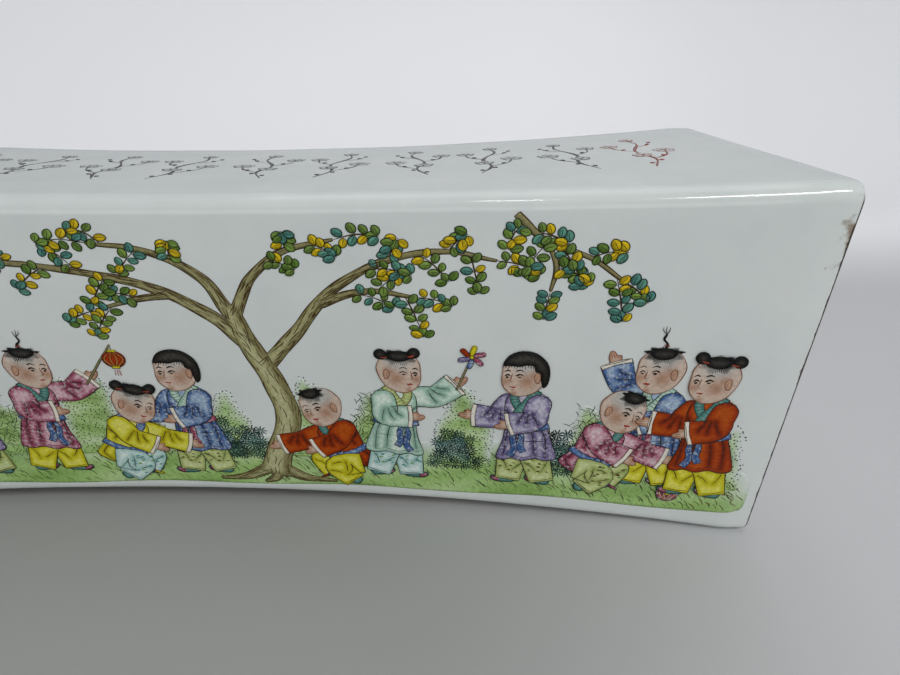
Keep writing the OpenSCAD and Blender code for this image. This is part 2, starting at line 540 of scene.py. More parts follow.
@dataclass
class GlazeCoat:
    """Glaze over the seat, sides and ends, wiped off the base, with a lip into each vent."""

    form: HollowForm
    vent_radius: float = 5.0
    vent_height: float = 61.0
    skin: float = 0.3
    arris_radius: float = 0.8
    lip_depth: float = 3.0
    lip_flare: float = 0.9
    wiped_depth: float = 0.02
    wiped_share: float = 0.5
    mesh_step: float = 3.0
    corner_steps: int = 10
    arris_steps: int = 6
    end_steps: int = 14
    flare_steps: int = 5

    def ring(self, inset: float) -> Array:
        """Points round the section of the straight blank, turning from +Y to +Z.

        Args:
            inset: How far the ring lies inside the full section.

        Returns:
            One row of y and z for each point.
        """
        form = self.form
        flat_y = form.depth / 2 - form.edge_radius
        flat_z = form.height / 2 - form.edge_radius
        corners = [(1, 1), (-1, 1), (-1, -1), (1, -1)]
        centres = [np.array([sy * flat_y, form.height / 2 + sz * flat_z]) for sy, sz in corners]
        points: list[Array] = []
        for k, centre in enumerate(centres):
            for i in range(self.corner_steps + 1):
                angle = math.radians(90 * (k + i / self.corner_steps))
                way = np.array([math.cos(angle), math.sin(angle)])
                # The wiped base lies just inside the clay, and the glaze thins out towards it
                cover = min(1.0, max(0.0, (way[1] + 1) / self.wiped_share))
                grow = form.coat * cover - self.wiped_depth * (1 - cover) - inset
                points.append(centre + way * (form.edge_radius + grow))
            gap = centres[(k + 1) % 4] - centre
            steps = round(np.linalg.norm(gap) / self.mesh_step)
            shift = points[-1] - centre
            points.extend(centre + gap * i / steps + shift for i in range(1, steps))
        return np.array(points)

    def rows(self) -> list[Array]:
        """Rings of the coat, from inside the left vent to inside the right one.

        Returns:
            One array of x, y and z rows for each ring.
        """
        face_x = self.form.length / 2 + self.form.coat
        round_x = face_x - self.arris_radius
        steps = round(2 * round_x / self.mesh_step)
        body = [(round_x * (2 * i / steps - 1), self.ring(0)) for i in range(steps + 1)]
        end: list[tuple[float, Array]] = []
        for i in range(1, self.arris_steps + 1):
            turn = math.radians(90 * i / self.arris_steps)
            ring = self.ring(self.arris_radius * (1 - math.cos(turn)))
            end.append((round_x + self.arris_radius * math.sin(turn), ring))
        rim = end[-1][1]
        middle = np.array([0.0, self.vent_height])
        spoke = rim - middle
        spoke /= np.linalg.norm(spoke, axis=1)[:, None]
        bore = self.vent_radius - self.form.coat
        mouth = middle + spoke * (bore + self.lip_flare)
        end += [(face_x, rim + (mouth - rim) * i / self.end_steps) for i in range(1, self.end_steps + 1)]
        for i in range(1, self.flare_steps + 1):
            turn = math.radians(90 * i / self.flare_steps)
            ring = middle + spoke * (bore + self.lip_flare * (1 - math.sin(turn)))
            end.append((face_x - self.lip_flare * (1 - math.cos(turn)), ring))
        end.append((face_x - self.lip_depth, middle + spoke * bore))
        chain = [(-x, ring) for x, ring in reversed(end)] + body + end
        return [np.column_stack([np.full(len(ring), x), ring]) for x, ring in chain]

    def build(self) -> Piece:
        """Build the coat.

        Returns:
            The finished piece.
        """
        rows = self.rows()
        count = len(rows[0])
        faces = []
        for low in range(0, (len(rows) - 1) * count, count):
            for j in range(count):
                k = (j + 1) % count
                faces.append((low + j, low + k, low + count + k, low + count + j))
        piece = mesh_object("glaze_coat", np.vstack(rows), faces)
        self.form.bend(piece, GlazeFinish().material(self.form.length / 2))
        wall = piece.modifiers.new("skin", "SOLIDIFY")
        wall.thickness = self.skin * MM
        wall.offset = -1.0
        wall.use_even_offset = True
        return settle(piece)


class Pigment(Enum):
    """Overglaze enamels: the tone of the wash, of its folds, and of its thin places."""

    ROSE = ("#9f4a64", "#490b19", "#d8b6be")
    YELLOW = ("#cfc81c", "#7a660a", "#dcd86c")
    IRON_RED = ("#9c3302", "#4a1202", "#b0500c")
    PURPLE = ("#7c7098", "#281c44", "#beb9c8")
    BLUE = ("#46689a", "#14244f", "#a3b7ca")
    MINT = ("#a3c6b0", "#577f70", "#dbe5d9")
    LIME = ("#b4c078", "#686e34", "#ccd4a2")
    AQUA = ("#b0cfc8", "#67988f", "#dce6e0")
    TEAL = ("#4f857d", "#1d403b", "#8fb0a6")
    SKIN = ("#bc967c", "#805038", "#d2c4b6")
    BARK = ("#9c9869", "#5a4d2a", "#b8b68c")
    GRASS = ("#9cbd72", "#7fa352", "#b6cd96")
    SHRUB = ("#a3c07c", "#7c9c50", "#c2d4aa")
    NEEDLE = ("#86a498", "#71948a", "#9fb8ac")
    HAIR = ("#191815", "#0a0908", "#45423c")
    PAPER = ("#e6dfd2", "#b39f86", "#f0ede6")

    def tones(self) -> list[Array]:
        """Return the three tones as linear colours."""
        return [tone(code) for code in self.value]

    def flecks(self) -> float:
        """Return how strongly white flecks show in it."""
        return {"ROSE": 0.5, "PURPLE": 0.5, "BLUE": 0.5, "MINT": 0.3, "AQUA": 0.3}.get(self.name, 0.0)


def unit(way: Array) -> Array:
    """Return a step of length one the same way."""
    return way / np.linalg.norm(way)


def oval(middle: Sequence[float], wide: float, high: float, turns: Array) -> Array:
    """Return points round an oval, from half its width and height, at turns in radians."""
    return np.asarray(middle) + np.column_stack([wide * np.cos(turns), high * np.sin(turns)])


def smooth_path(points: Points, closed: bool = False, step: float = 0.7) -> Array:
    """Run a smooth curve through points.

    Args:
        points: Rows of coordinates, to which a width may be added.
        closed: Whether the curve comes back to its start.
        step: Longest gap between the points of the curve.

    Returns:
        Points along the curve.
    """
    given = np.asarray(points, float)
    if closed:
        chain = np.vstack([given[-1:], given, given[:2]])
    else:
        chain = np.vstack([2 * given[:1] - given[1:2], given, 2 * given[-1:] - given[-2:-1]])
    parts = []
    for p0, p1, p2, p3 in zip(chain, chain[1:], chain[2:], chain[3:]):
        count = max(2, math.ceil(np.linalg.norm(p2 - p1) / step))
        t = np.arange(count)[:, None] / count
        parts.append(0.5 * (2 * p1 + (p2 - p0) * t + (2 * p0 - 5 * p1 + 4 * p2 - p3) * t ** 2
                            + (3 * p1 - p0 - 3 * p2 + p3) * t ** 3))
    if not closed:
        parts.append(given[-1:])
    return np.vstack(parts)


def side_steps(path: Array) -> Array:
    """Unit steps to the left of a path.

    Args:
        path: Points along it.

    Returns:
        One step for each point.
    """
    ahead = np.gradient(path, axis=0)
    ahead /= np.maximum(np.linalg.norm(ahead, axis=1), 1e-9)[:, None]
    return np.column_stack([-ahead[:, 1], ahead[:, 0]])


def tube(points: Points, widths: Sequence[float], step: float = 0.7) -> Array:
    """Outline of a limb, ribbon or branch.

    Args:
        points: Points along its middle.
        widths: Half its width at each of them.
        step: Longest gap between the points of the outline.

    Returns:
        Closed outline, up one side and down the other.
    """
    curve = smooth_path(np.column_stack([points, widths]), step=step)
    side = side_steps(curve[:, :2]) * curve[:, 2:]
    return np.vstack([curve[:, :2] + side, (curve[:, :2] - side)[::-1]])


def distance(points: Array, line: Array) -> Array:
    """Distance of points from a line of straight pieces.

    Args:
        points: Points to measure from.
        line: Corners of the line.

    Returns:
        One distance for each point.
    """
    start, gap = line[:-1], np.diff(line, axis=0)
    size = np.maximum((gap ** 2).sum(1), 1e-12)
    away = points[:, None] - start
    t = np.clip((away * gap).sum(2) / size, 0, 1)
    return np.linalg.norm(away - t[..., None] * gap, axis=2).min(1)


def inside(points: Array, outline: Array) -> Array:
    """Whether points lie inside a closed outline, which may overlap itself.

    Args:
        points: Points to test.
        outline: Corners of the outline.

    Returns:
        One truth value for each point.
    """
    nxt = np.roll(outline, -1, axis=0)
    climbs = (nxt[:, 1] > points[:, 1:2]).astype(int) - (outline[:, 1] > points[:, 1:2])
    rise = np.where(nxt[:, 1] == outline[:, 1], 1e-12, nxt[:, 1] - outline[:, 1])
    reach = outline[:, 0] + (points[:, 1:2] - outline[:, 1]) / rise * (nxt[:, 0] - outline[:, 0])
    return (climbs * (points[:, :1] < reach)).sum(1) != 0


def staggered(low: Array, high: Array, gap: float) -> Array:
    """Return staggered rows of points between two corners."""
    return np.array([(x, up) for k, up in enumerate(np.arange(low[1], high[1], 0.87 * gap))
                     for x in np.arange(low[0] + 0.5 * gap * (k % 2), high[0], gap)])


def plain(colour: Array) -> Shade:
    """Return the shade of a wash that is one colour all over."""
    return lambda points, rim: np.tile(colour, (len(points), 1))


def folded(pigment: Pigment, folds: Sequence[Array] = (), edge: float = 0.7, reach: float = 0.9,
           strength: float = 0.75) -> Shade:
    """Shade a wash that is deep along its edge and folds and thin between them.

    Args:
        pigment: Enamel of the wash.
        folds: Lines that the enamel pools along.
        edge: How far the edge's tone reaches in.
        reach: How far a fold's tone reaches.
        strength: Share of the deep tone on a fold.

    Returns:
        Function from points and their distance from the rim to colours.
    """
    body, deep, pale = pigment.tones()

    def shade(points: Array, rim: Array) -> Array:
        """Return one colour for each point."""
        near = np.full(len(points), 9.0)
        for line in folds:
            near = np.minimum(near, distance(points, line))
        mottle = 0.5 + 0.5 * np.sin(points[:, 0] * 2.9 + 1.7 * np.sin(points[:, 1] * 2.3))
        dark = np.maximum(0.5 * np.exp(-(rim / edge) ** 2), strength * np.exp(-(near / reach) ** 2))
        bright = np.clip((np.minimum(rim / 1.7, near / 2.0) - 0.45) * 1.3, 0, 1) * (0.55 + 0.45 * mottle)
        colour = body + (pale - body) * bright[:, None]
        colour = colour + (deep - colour) * np.clip(dark * (0.8 + 0.3 * mottle), 0, 1)[:, None]
        return np.column_stack([colour, np.full(len(points), 1 - pigment.flecks())])

    return shade


def faded(pigment: Pigment, fade: float, cloud: float, rim_line: Array) -> Shade:
    """Shade a wash that thins out to bare glaze towards a line.

    Args:
        pigment: Enamel of the wash.
        fade: Distance over which it thins out.
        cloud: Size of its deeper patches.
        rim_line: Line that it thins out towards.

    Returns:
        Function from points and their distance from the rim to colours.
    """
    body, deep, pale = pigment.tones()

    def shade(points: Array, rim: Array) -> Array:
        """Return one colour for each point."""
        x, up = points[:, 0] / cloud, points[:, 1] / cloud
        patch = np.sin(x + 1.3 * np.sin(1.9 * up)) * np.sin(2.2 * up + 0.8 * np.sin(0.7 * x))
        colour = body + (pale - body) * np.clip(patch, 0, 1)[:, None] * 0.8
        colour = colour + (deep - colour) * np.clip(-patch, 0, 1)[:, None] * 0.8
        cover = 1 - np.exp(-(distance(points, rim_line) / fade) ** 1.5)
        return np.column_stack([GLAZE_TONE + (colour - GLAZE_TONE) * cover[:, None], 2 - cover])

    return shade


class Face(Enum):
    """Where a drawing lies: on a side of the pillow, or loose until copies of it are set."""

    FRONT = "front"
    SEAT = "seat"
    LOOSE = "loose"


@dataclass
class Canvas:
    """Enamel drawing on one side of the straight blank, gathered into one mesh.

    Each wash lies a layer above the one before, and its foot is sunk into the glaze.
    """

    name: str
    form: HollowForm
    face: Face = Face.FRONT
    level: float = 0.03
    layer: float = 0.005
    crest: float = 0.003
    sunk: float = 0.02
    points: list[Array] = field(default_factory=list)
    colours: list[Array] = field(default_factory=list)
    faces: list[tuple[int, ...]] = field(default_factory=list)
    flat: list[int] = field(default_factory=list)
    count: int = 0

    def place(self, drawn: Array, height: Array) -> Array:
        """Lift drawn points off the blank.

        Args:
            drawn: Rows of x and the distance up the face.
            height: Height of each point above the glaze.

        Returns:
            Rows of x, y and z.
        """
        form = self.form
        if self.face is Face.SEAT:
            return np.column_stack([drawn, form.height + form.coat + height])
        front = form.depth / 2 + form.coat if self.face is Face.FRONT else 0.0
        return np.column_stack([drawn[:, 0], -front - height, drawn[:, 1]])

    def add(self, points: Array, colours: Array) -> int:
        """Keep points and their colours.

        Args:
            points: Rows of x, y and z.
            colours: Their colours, with or without the fourth channel: one for plain enamel, less where
                it is flecked, more where it thins out.

        Returns:
            The number of the first point.
        """
        first = self.count
        self.points.append(points)
        self.colours.append(np.column_stack([colours, np.ones((len(points), 4 - colours.shape[1]))]))
        self.count += len(points)
        return first

    def flat_face(self, *corners: int) -> None:
        """Keep a face that isn't shaded smooth."""
        self.flat.append(len(self.faces))
        self.faces.append(corners)

    def wash(self, outline: Array, shade: Shade, grain: float = 0.75, line: Optional[str] = INK,
             pen: float = 0.3) -> None:
        """Lay an area of enamel, and draw round it.

        Args:
            outline: Closed outline.
            shade: Gives the colour of each point.
            grain: Gap between the points that carry colour.
            line: Colour of the line round it, if it has one.
            pen: Width of that line.
        """
        net = staggered(outline.min(0), outline.max(0), grain)
        rim = np.vstack([outline, outline[:1]])
        net = net[inside(net, outline)]
        if len(net):
            net = net[distance(net, rim) > grain * 0.45]
        every = [Vector(p) for p in np.vstack([outline, net])]
        ring = list(range(len(outline)))
        corners, _, triangles, *_ = delaunay_2d_cdt(every, [], [ring], 1, 1e-4, False)
        flat = np.array([tuple(c) for c in corners])
        middles = flat[np.array(triangles)].mean(1)
        triangles = [t for t, held in zip(triangles, inside(middles, outline)) if held]
        depth = distance(flat, rim)
        self.level += self.layer
        colour = shade(flat, depth)
        first = self.add(self.place(flat, self.level + 0.2 * self.layer * (1 - np.exp(-depth / 0.8))), colour)
        under = self.add(self.place(flat, np.full(len(flat), -self.sunk)), colour)
        used: dict[tuple[int, int], int] = {}
        for a, b, c in triangles:
            self.faces.append((first + a, first + b, first + c))
            for edge in ((a, b), (b, c), (c, a)):
                used[edge] = 1
        for a, b, c in triangles:
            self.flat_face(under + c, under + b, under + a)
        for a, b in used:
            if (b, a) not in used:
                self.flat_face(under + a, under + b, first + b, first + a)
        if line:
            self.stroke(rim, pen, line, ends=1.0)

    def stroke(self, path: Array, width: float, colour: str, ends: float = 0.25) -> None:
        """Draw a raised brush line.

        Args:
            path: Points along it.
            width: Its full width.
            colour: Hex colour.
            ends: Share of the width that is left at its two ends.
        """
        count = len(path)
        swell = ends + (1 - ends) * np.sqrt(np.sin(np.linspace(0.0, math.pi, count)).clip(0))
        swell *= 0.85 + 0.25 * np.sin(np.arange(count) * 0.31 + path[0, 0])
        side = side_steps(path) * (swell * width / 2)[:, None]
        low = np.full(count, self.level + 0.3 * self.layer)
        rows = [self.place(path + side, low), self.place(path - side, low),
                self.place(path, low + self.crest)]
        left = self.add(np.vstack(rows), np.tile(tone(colour), (3 * count, 1)))
        right, ridge = left + count, left + 2 * count
        for i in range(count - 1):
            j = i + 1
            self.faces.append((right + i, right + j, ridge + j, ridge + i))
            self.faces.append((ridge + i, ridge + j, left + j, left + i))
            self.flat_face(left + i, left + j, right + j, right + i)
        last = count - 1
        self.flat_face(right, ridge, left)
        self.flat_face(left + last, ridge + last, right + last)

    def strokes(self, paths: Sequence[Array], width: float = 0.3, colour: str = INK) -> None:
        """Draw a brush line along each path."""
        for path in paths:
            self.stroke(path, width, colour)

    def brush(self, points: Points, width: float, colour: str, step: float = 0.7, **rest: Any) -> None:
        """Draw a brush line along a smooth curve through points."""
        self.stroke(smooth_path(points, step=step), width, colour, **rest)

    def shape(self, points: Points, shade: Shade, step: float = 0.7, **rest: Any) -> None:
        """Lay a wash inside a smooth closed curve through points."""
        self.wash(smooth_path(points, True, step), shade, **rest)

    def ribbon(self, points: Points, widths: Sequence[float], shade: Shade, step: float = 0.7,
               **rest: Any) -> None:
        """Lay a wash in the shape of a limb or ribbon."""
        self.wash(tube(points, widths, step), shade, **rest)

    def blank(self) -> Piece:
        """Make the drawing a mesh with its colours, before it is bent.

        Returns:
            The straight piece.
        """
        piece = mesh_object(self.name, np.vstack(self.points), self.faces)
        smooth = np.ones(len(self.faces), bool)
        smooth[self.flat] = False
        piece.data.polygons.foreach_set("use_smooth", smooth)
        tint = piece.data.attributes.new("enamel", "FLOAT_COLOR", "POINT")
        tint.data.foreach_set("color", np.vstack(self.colours).ravel())
        return piece

    def build(self) -> Piece:
        """Bend the drawing onto the pillow.

        Returns:
            The finished piece.
        """
        piece = self.blank()
        shape = bmesh.new()
        shape.from_mesh(piece.data)
        # The form has a crease at each joint, so faces are cut there to bend with it
        for x in (-self.form.joint_x, self.form.joint_x):
            every = shape.verts[:] + shape.edges[:] + shape.faces[:]
            bmesh.ops.bisect_plane(shape, geom=every, plane_co=(x * MM, 0, 0), plane_no=(1, 0, 0))
        shape.to_mesh(piece.data)
        shape.free()
        self.form.bend(piece, EnamelFinish().material())
        return settle(piece)


class Hair(Enum):
    """Ways that the children wear their hair."""

    FORELOCK = "forelock"
    SPROUT = "sprout"
    TWIN_KNOTS = "twin knots"
    BOWL = "bowl"


class Pose(Enum):
    """Ways that the children stand, as fields of a child. Angles are degrees."""

    CROUCHING = {"lean": 22.0, "nod": 4.0, "near_leg": (78.0, 120.0), "far_leg": (104.0, 128.0),
                 "crouch": True, "skirt": 5.0, "near_arm": (30, 32), "far_arm": (58, 16)}
    RUNNING = {"lean": 12.0, "near_leg": (-36.0, 38.0), "far_leg": (44.0, 34.0), "near_arm": (-42, 48),
               "far_arm": (104, 22)}
    HOLDING = {"near_arm": (8, 82), "far_arm": (96, 34)}
    POINTING = {"near_arm": (22, 66), "far_arm": (82, 18)}
    RESTING = {"near_arm": (14, 60), "far_arm": (30, 62)}
    WAVING = {"near_arm": (14, 60), "far_arm": (126, 32)}


@dataclass
class Child:
    """Playing child in a jacket and wide trousers, drawn facing right and mirrored to face left.

    A limb has two angles: its upper part's, forwards from straight down, and its bend.
    """

    x: float
    ground: float
    robe: Pigment
    trousers: Pigment
    trim: Pigment
    hair: Hair
    facing: int = 1
    lean: float = 4.0
    nod: float = 0.0
    near_arm: Pair = (15.0, 60.0)
    far_arm: Pair = (40.0, 50.0)
    near_leg: Pair = (-10.0, 6.0)
    far_leg: Pair = (14.0, 8.0)
    skirt: float = 6.0
    crouch: bool = False
    scale: float = 1.32
    torso: float = 15.5
    head: float = 5.5
    head_stretch: float = 1.13
    leg_lengths: Pair = (7.2, 6.6)
    arm_lengths: Pair = (6.6, 5.8)
    sole: float = 1.3
    rise: float = 0.0
    canvas: Optional[Canvas] = None

    def put(self, points: Points) -> Array:
        """Move rows of x and height about the hips onto the canvas, and return them."""
        own = np.asarray(points, float) + (0, self.rise)
        return own * (self.facing * self.scale, self.scale) + (self.x, self.ground)

    @staticmethod
    def turn(points: Any, degrees: float) -> Array:
        """Lean points forwards about the origin.

        Args:
            points: One point, or rows of them.
            degrees: How far they lean.

        Returns:
            Rows of points.
        """
        cos, sin = math.cos(math.radians(degrees)), math.sin(math.radians(degrees))
        across, up = np.atleast_2d(np.asarray(points, float)).T
        return np.column_stack([across * cos + up * sin, up * cos - across * sin])

    @staticmethod
    def chain(start: Sequence[float], upper: float, bend: float, lengths: Sequence[float]) -> list[Array]:
        """Joints of a limb.

        Args:
            start: Where the limb starts.
            upper: Angle of its upper part, forwards from straight down.
            bend: How much further forwards its lower part turns.
            lengths: Lengths of the two.

        Returns:
            Its start, its bend and its end.
        """
        joints = [np.asarray(start, float)]
        for angle, length in zip(map(math.radians, (upper, upper + bend)), lengths):
            joints.append(joints[-1] + np.array([math.sin(angle), -math.cos(angle)]) * length)
        return joints

    def draw(self, canvas: Canvas) -> dict[str, Array]:
        """Draw the child.

        Args:
            canvas: Canvas that gets the washes and lines.

        Returns:
            Where the near and far hands are, on the canvas.
        """
        self.canvas = canvas
        near_leg, far_leg = (self.chain((shift, 0.0), thigh, -bend, self.leg_lengths)
                             for (thigh, bend), shift in ((self.near_leg, -1.6), (self.far_leg, 1.8)))
        self.rise = self.sole - min(near_leg[2][1], far_leg[2][1])
        neck = self.turn((0, self.torso), self.lean)[0]
        near, far = (neck + self.turn(shift, self.lean)[0] for shift in ((-3.4, -2.6), (3.6, -2.4)))
        near_arm = self.chain(near, *self.near_arm, self.arm_lengths)
        far_arm = self.chain(far, *self.far_arm, self.arm_lengths)
        self.arm(far_arm)
        self.leg(far_leg)
        # The near knee of a crouching child comes in front of the jacket
        if not self.crouch:
            self.leg(near_leg)
        self.jacket()
        if self.crouch:
            self.leg(near_leg)
        self.head_and_hair(neck)
        self.arm(near_arm)
        hands = [wrist + unit(wrist - elbow) * 1.8 for _, elbow, wrist in (near_arm, far_arm)]
        return dict(zip(("near", "far"), self.put(hands)))

    def leg(self, joints: list[Array]) -> None:
        """Draw a wide trouser leg and its cloth shoe.

        Args:
            joints: Hip, knee and ankle.
        """
        canvas = self.canvas
        hip, knee, ankle = joints
        shin = unit(ankle - knee)
        across = np.array([-shin[1], shin[0]])
        tilt = 0.5 * math.degrees(math.atan2(shin[0], -shin[1]))
        shoe = [(-1.7, 1.5), (-2.1, 0.2), (-1.5, -1.1), (1.2, -1.3), (3.4, -1.1), (4.6, -0.1), (4.3, 0.8),
                (3.0, 0.7), (1.7, 1.5)]
        toe = [(2.2, -1.0), (3.4, -0.9), (4.3, -0.1), (4.0, 0.6), (2.9, 0.5), (2.3, 0.0)]
        canvas.shape(self.put(ankle + self.turn(shoe, tilt)), folded(Pigment.TEAL))
        canvas.shape(self.put(ankle + self.turn(toe, tilt)), folded(Pigment.ROSE), 0.5, grain=0.6, pen=0.2)
        foot = ankle + shin * 0.4
        bulge = (hip + knee) / 2 + (0.3, 0.0)
        creases = [self.put([knee + across * a, knee + across * b + shin * c])
                   for a, b, c in ((-3.0, -0.6, 3.4), (2.9, 0.8, 2.8), (-2.2, 0.2, -1.2))]
        creases = [smooth_path([c[0], c.mean(0) + 0.35, c[1]]) for c in creases]
        canvas.ribbon(self.put([hip, bulge, knee + 0.12 * (ankle - knee), foot]),
                      np.array([3.5, 3.9, 3.7, 3.2]) * self.scale,
                      folded(self.trousers, creases, strength=0.5))
        canvas.strokes(creases)
        printed = {Pigment.LIME: ("#5b4a1e", "#7a6a34", "#6f9a3e"),
                   Pigment.AQUA: ("#3f8f8c", "#5aa6a4", "#7fae5e")}
        if self.trousers in printed:
            for k in range(14):
                spot = knee + across * 2.5 * math.sin(5.1 * k + self.x) + shin * (0.52 * k - 2.6)
                dab = self.put([spot, spot + (0.5, 0.3), spot + (1.0, 0.2)])
                canvas.stroke(dab, 0.95, printed[self.trousers][k % 3])
        hem = ((3.1, 0.9), (0.2, 0.5), (-3.1, 0.9))
        canvas.brush(self.put([foot + across * a - shin * b for a, b in hem]), 0.28, INK)

    def arm(self, joints: list[Array]) -> None:
        """Draw a hand, its sleeve and the cuff.

        Args:
            joints: Shoulder, elbow and wrist.
        """
        canvas = self.canvas
        shoulder, elbow, wrist = joints
        way = unit(wrist - elbow)
        side = np.array([-way[1], way[0]])
        palm = [(-0.6, -1.1), (1.4, -1.3), (2.9, -1.0), (3.9, -0.2), (3.5, 0.5), (2.3, 0.8), (2.0, 1.7),
                (1.3, 1.5), (-0.6, 1.1)]
        canvas.shape(self.put([wrist + way * a + side * b for a, b in palm]),
                     folded(Pigment.SKIN, edge=0.5), 0.5, grain=0.6, line=FLESH_INK, pen=0.25)
        for a, b in ((-0.45, 3.3), (0.1, 3.1)):
            finger = [wrist + way * 1.7 + side * a, wrist + way * b + side * (a - 0.05)]
            canvas.brush(self.put(finger), 0.2, FLESH_INK, 0.4)
        cuff = wrist + way * 0.4
        reach = unit(elbow - shoulder)
        inner = -side if np.cross(elbow - shoulder, wrist - elbow) < 0 else side
        creases = [self.put([elbow + inner * a + way * b, elbow - inner * c + way * d])
                   for a, b, c, d in ((2.6, 0.3, 0.8, 1.6), (2.4, -0.6, 1.6, -1.2), (2.2, 1.8, -0.2, 3.6))]
        creases = [smooth_path([c[0], c.mean(0) - 0.2, c[1]]) for c in creases]
        canvas.ribbon(self.put([shoulder - reach * 1.6, shoulder, (shoulder + elbow) / 2, elbow, cuff]),
                      np.array([1.3, 2.8, 3.2, 3.3, 3.7]) * self.scale, folded(self.robe, creases))
        canvas.strokes(creases)
        band = self.put([cuff + side * 3.6 - way * 0.45, cuff - way * 0.1, cuff - side * 3.6 - way * 0.45])
        canvas.ribbon(band, [0.55 * self.scale] * 3, folded(Pigment.PAPER, edge=0.2), grain=0.6, pen=0.22)

    def jacket(self) -> None:
        """Draw the jacket with its collar, sash and folds."""
        canvas = self.canvas
        drape = 0.25 * (self.near_leg[0] + self.far_leg[0])
        hem = -self.skirt

        def on(*places: Pair) -> Array:
            """Move places, along the back from the hips and across it, onto the canvas."""
            along, across = np.array(places, float).T
            back = self.turn(np.column_stack([across, np.maximum(along, 0)]), self.lean)
            return self.put(back + self.turn(np.column_stack([0 * along, np.minimum(along, 0)]), -drape))

        creases = [smooth_path(on(*places)) for places in (
            ((4.4, -3.6), (0.5, -4.6), (hem + 0.8, -5.2)), ((4.2, -0.8), (0.6, -1.6), (hem + 1.6, -2.2)),
            ((4.2, 1.8), (1.2, 2.6), (hem + 0.6, 3.4)), ((4.4, 4.6), (1.0, 5.2), (hem + 1.4, 5.6)),
            ((9.8, -5.2), (8.6, -3.0), (8.4, -1.2)), ((12.6, -4.2), (9.6, -2.6), (6.6, -2.6)),
            ((10.4, 5.2), (8.6, 4.2), (7.0, 4.0)))]
        canvas.shape(on(
            (15.6, -2.2), (13.9, -4.9), (10.4, -5.3), (5.2, -4.9), (0, -6.2), (hem + 0.4, -7.8),
            (hem - 0.7, -5.2), (hem - 0.1, -2.4), (hem - 0.9, 0.6), (hem - 0.1, 3.6), (hem - 0.6, 5.6),
            (hem + 0.5, 7.5), (0, 6.2), (5.2, 5.4), (10.2, 5.4), (13.9, 4.7), (15.6, 2.3)),
            folded(self.robe, creases))
        canvas.strokes(creases)
        turned_up = ((1.5, -7.2), (0.5, -5.0), (1.0, -2.4), (0.3, 0.6), (1.0, 3.6), (0.6, 5.4), (1.5, 6.9))
        canvas.brush(on(*((hem + a, c) for a, c in turned_up)), 0.25, INK)
        for lapel, half in ((on((15.9, 2.5), (13.4, 2.9), (10.8, 1.9)), 1.1),
                            (on((16.0, -2.6), (12.8, -0.6), (9.6, 1.8), (6.2, 3.4)), 1.25)):
            canvas.ribbon(lapel, [half * self.scale] * len(lapel), folded(self.trim, edge=0.4), grain=0.6,
                          pen=0.26)
            ruled = smooth_path(lapel, step=1.2 * self.scale)
            ribs = side_steps(ruled) * half * self.scale * 0.85
            for spot, rib in zip(ruled[1:-1], ribs[1:-1]):
                canvas.stroke(np.array([spot - rib, spot, spot + rib]), 0.18, INK, ends=0.8)
        sash = Pigment.BLUE if self.robe is not Pigment.BLUE else Pigment.ROSE
        canvas.ribbon(on((5.0, -5.5), (4.0, -2.0), (3.9, 2.0), (5.0, 6.0)), [0.9 * self.scale] * 4,
                      folded(sash, edge=0.4), grain=0.6)
        for tail in (on((4.2, 2.6), (1.0, 3.6), (-2.6, 3.0), (-5.2, 4.2)),
                     on((4.2, 2.2), (1.4, 1.4), (-1.6, 1.6), (-3.9, 0.6))):
            canvas.ribbon(tail, np.array([0.35, 0.75, 0.85, 0.95]) * self.scale,
                          folded(sash, [smooth_path(tail)], edge=0.3, reach=0.3), grain=0.6, pen=0.25)
        canvas.shape(on((5.0, 1.7), (4.9, 3.1), (3.7, 3.3), (3.4, 2.2)), folded(sash, edge=0.4), 0.5,
                     grain=0.5, pen=0.25)

    def head_and_hair(self, neck: Array) -> None:
        """Draw the round head, its plain face and its hair.

        Args:
            neck: Where the head sits.
        """
        canvas = self.canvas
        tilt = 0.5 * self.lean + self.nod
        middle = neck + self.turn((0.14 * self.head, 0.92 * self.head), tilt)[0]
        fine = self.head * self.scale / 6.3

        def on(points: Points) -> Array:
            """Move points from head radii about its middle onto the canvas."""
            own = np.asarray(points) * (1.0, self.head_stretch)
            return self.put(middle + self.turn(own, tilt) * self.head)

        skull = [(-0.12, 1.03), (0.5, 0.92), (0.86, 0.55), (0.93, 0.12), (0.96, -0.25), (0.86, -0.6),
                 (0.55, -0.9), (0.2, -1.0), (-0.25, -0.92), (-0.65, -0.66), (-0.93, -0.2), (-1.02, 0.3),
                 (-0.68, 0.85)]
        body, deep, pale = Pigment.SKIN.tones()
        scalp = tone("#a9adab")
        blushes = [(on([spot])[0], size * self.head * self.scale)
                   for spot, size in (((-0.14, -0.3), 0.46), ((0.78, -0.28), 0.28), ((-0.42, 0.02), 0.34),
                                      ((0.44, -0.86), 0.18))]
        crown = on([(-0.1, 0.75)])[0]

        def complexion(points: Array, rim: Array) -> Array:
            """Pale skin that warms at the cheeks and greys on the shaven scalp."""
            warm = 0.45 * np.exp(-(rim / 0.6) ** 2)
            for spot, size in blushes:
                warm = np.maximum(warm, 0.95 * np.exp(-(np.linalg.norm(points - spot, axis=1) / size) ** 2))
            colour = pale + (body - pale) * 0.24
            colour = colour + (body * 0.62 + deep * 0.38 - colour) * warm[:, None]
            bare = np.exp(-(np.linalg.norm(points - crown, axis=1) / (0.72 * self.head * self.scale)) ** 4)
            return colour + (scalp - colour) * (0.75 * bare)[:, None]

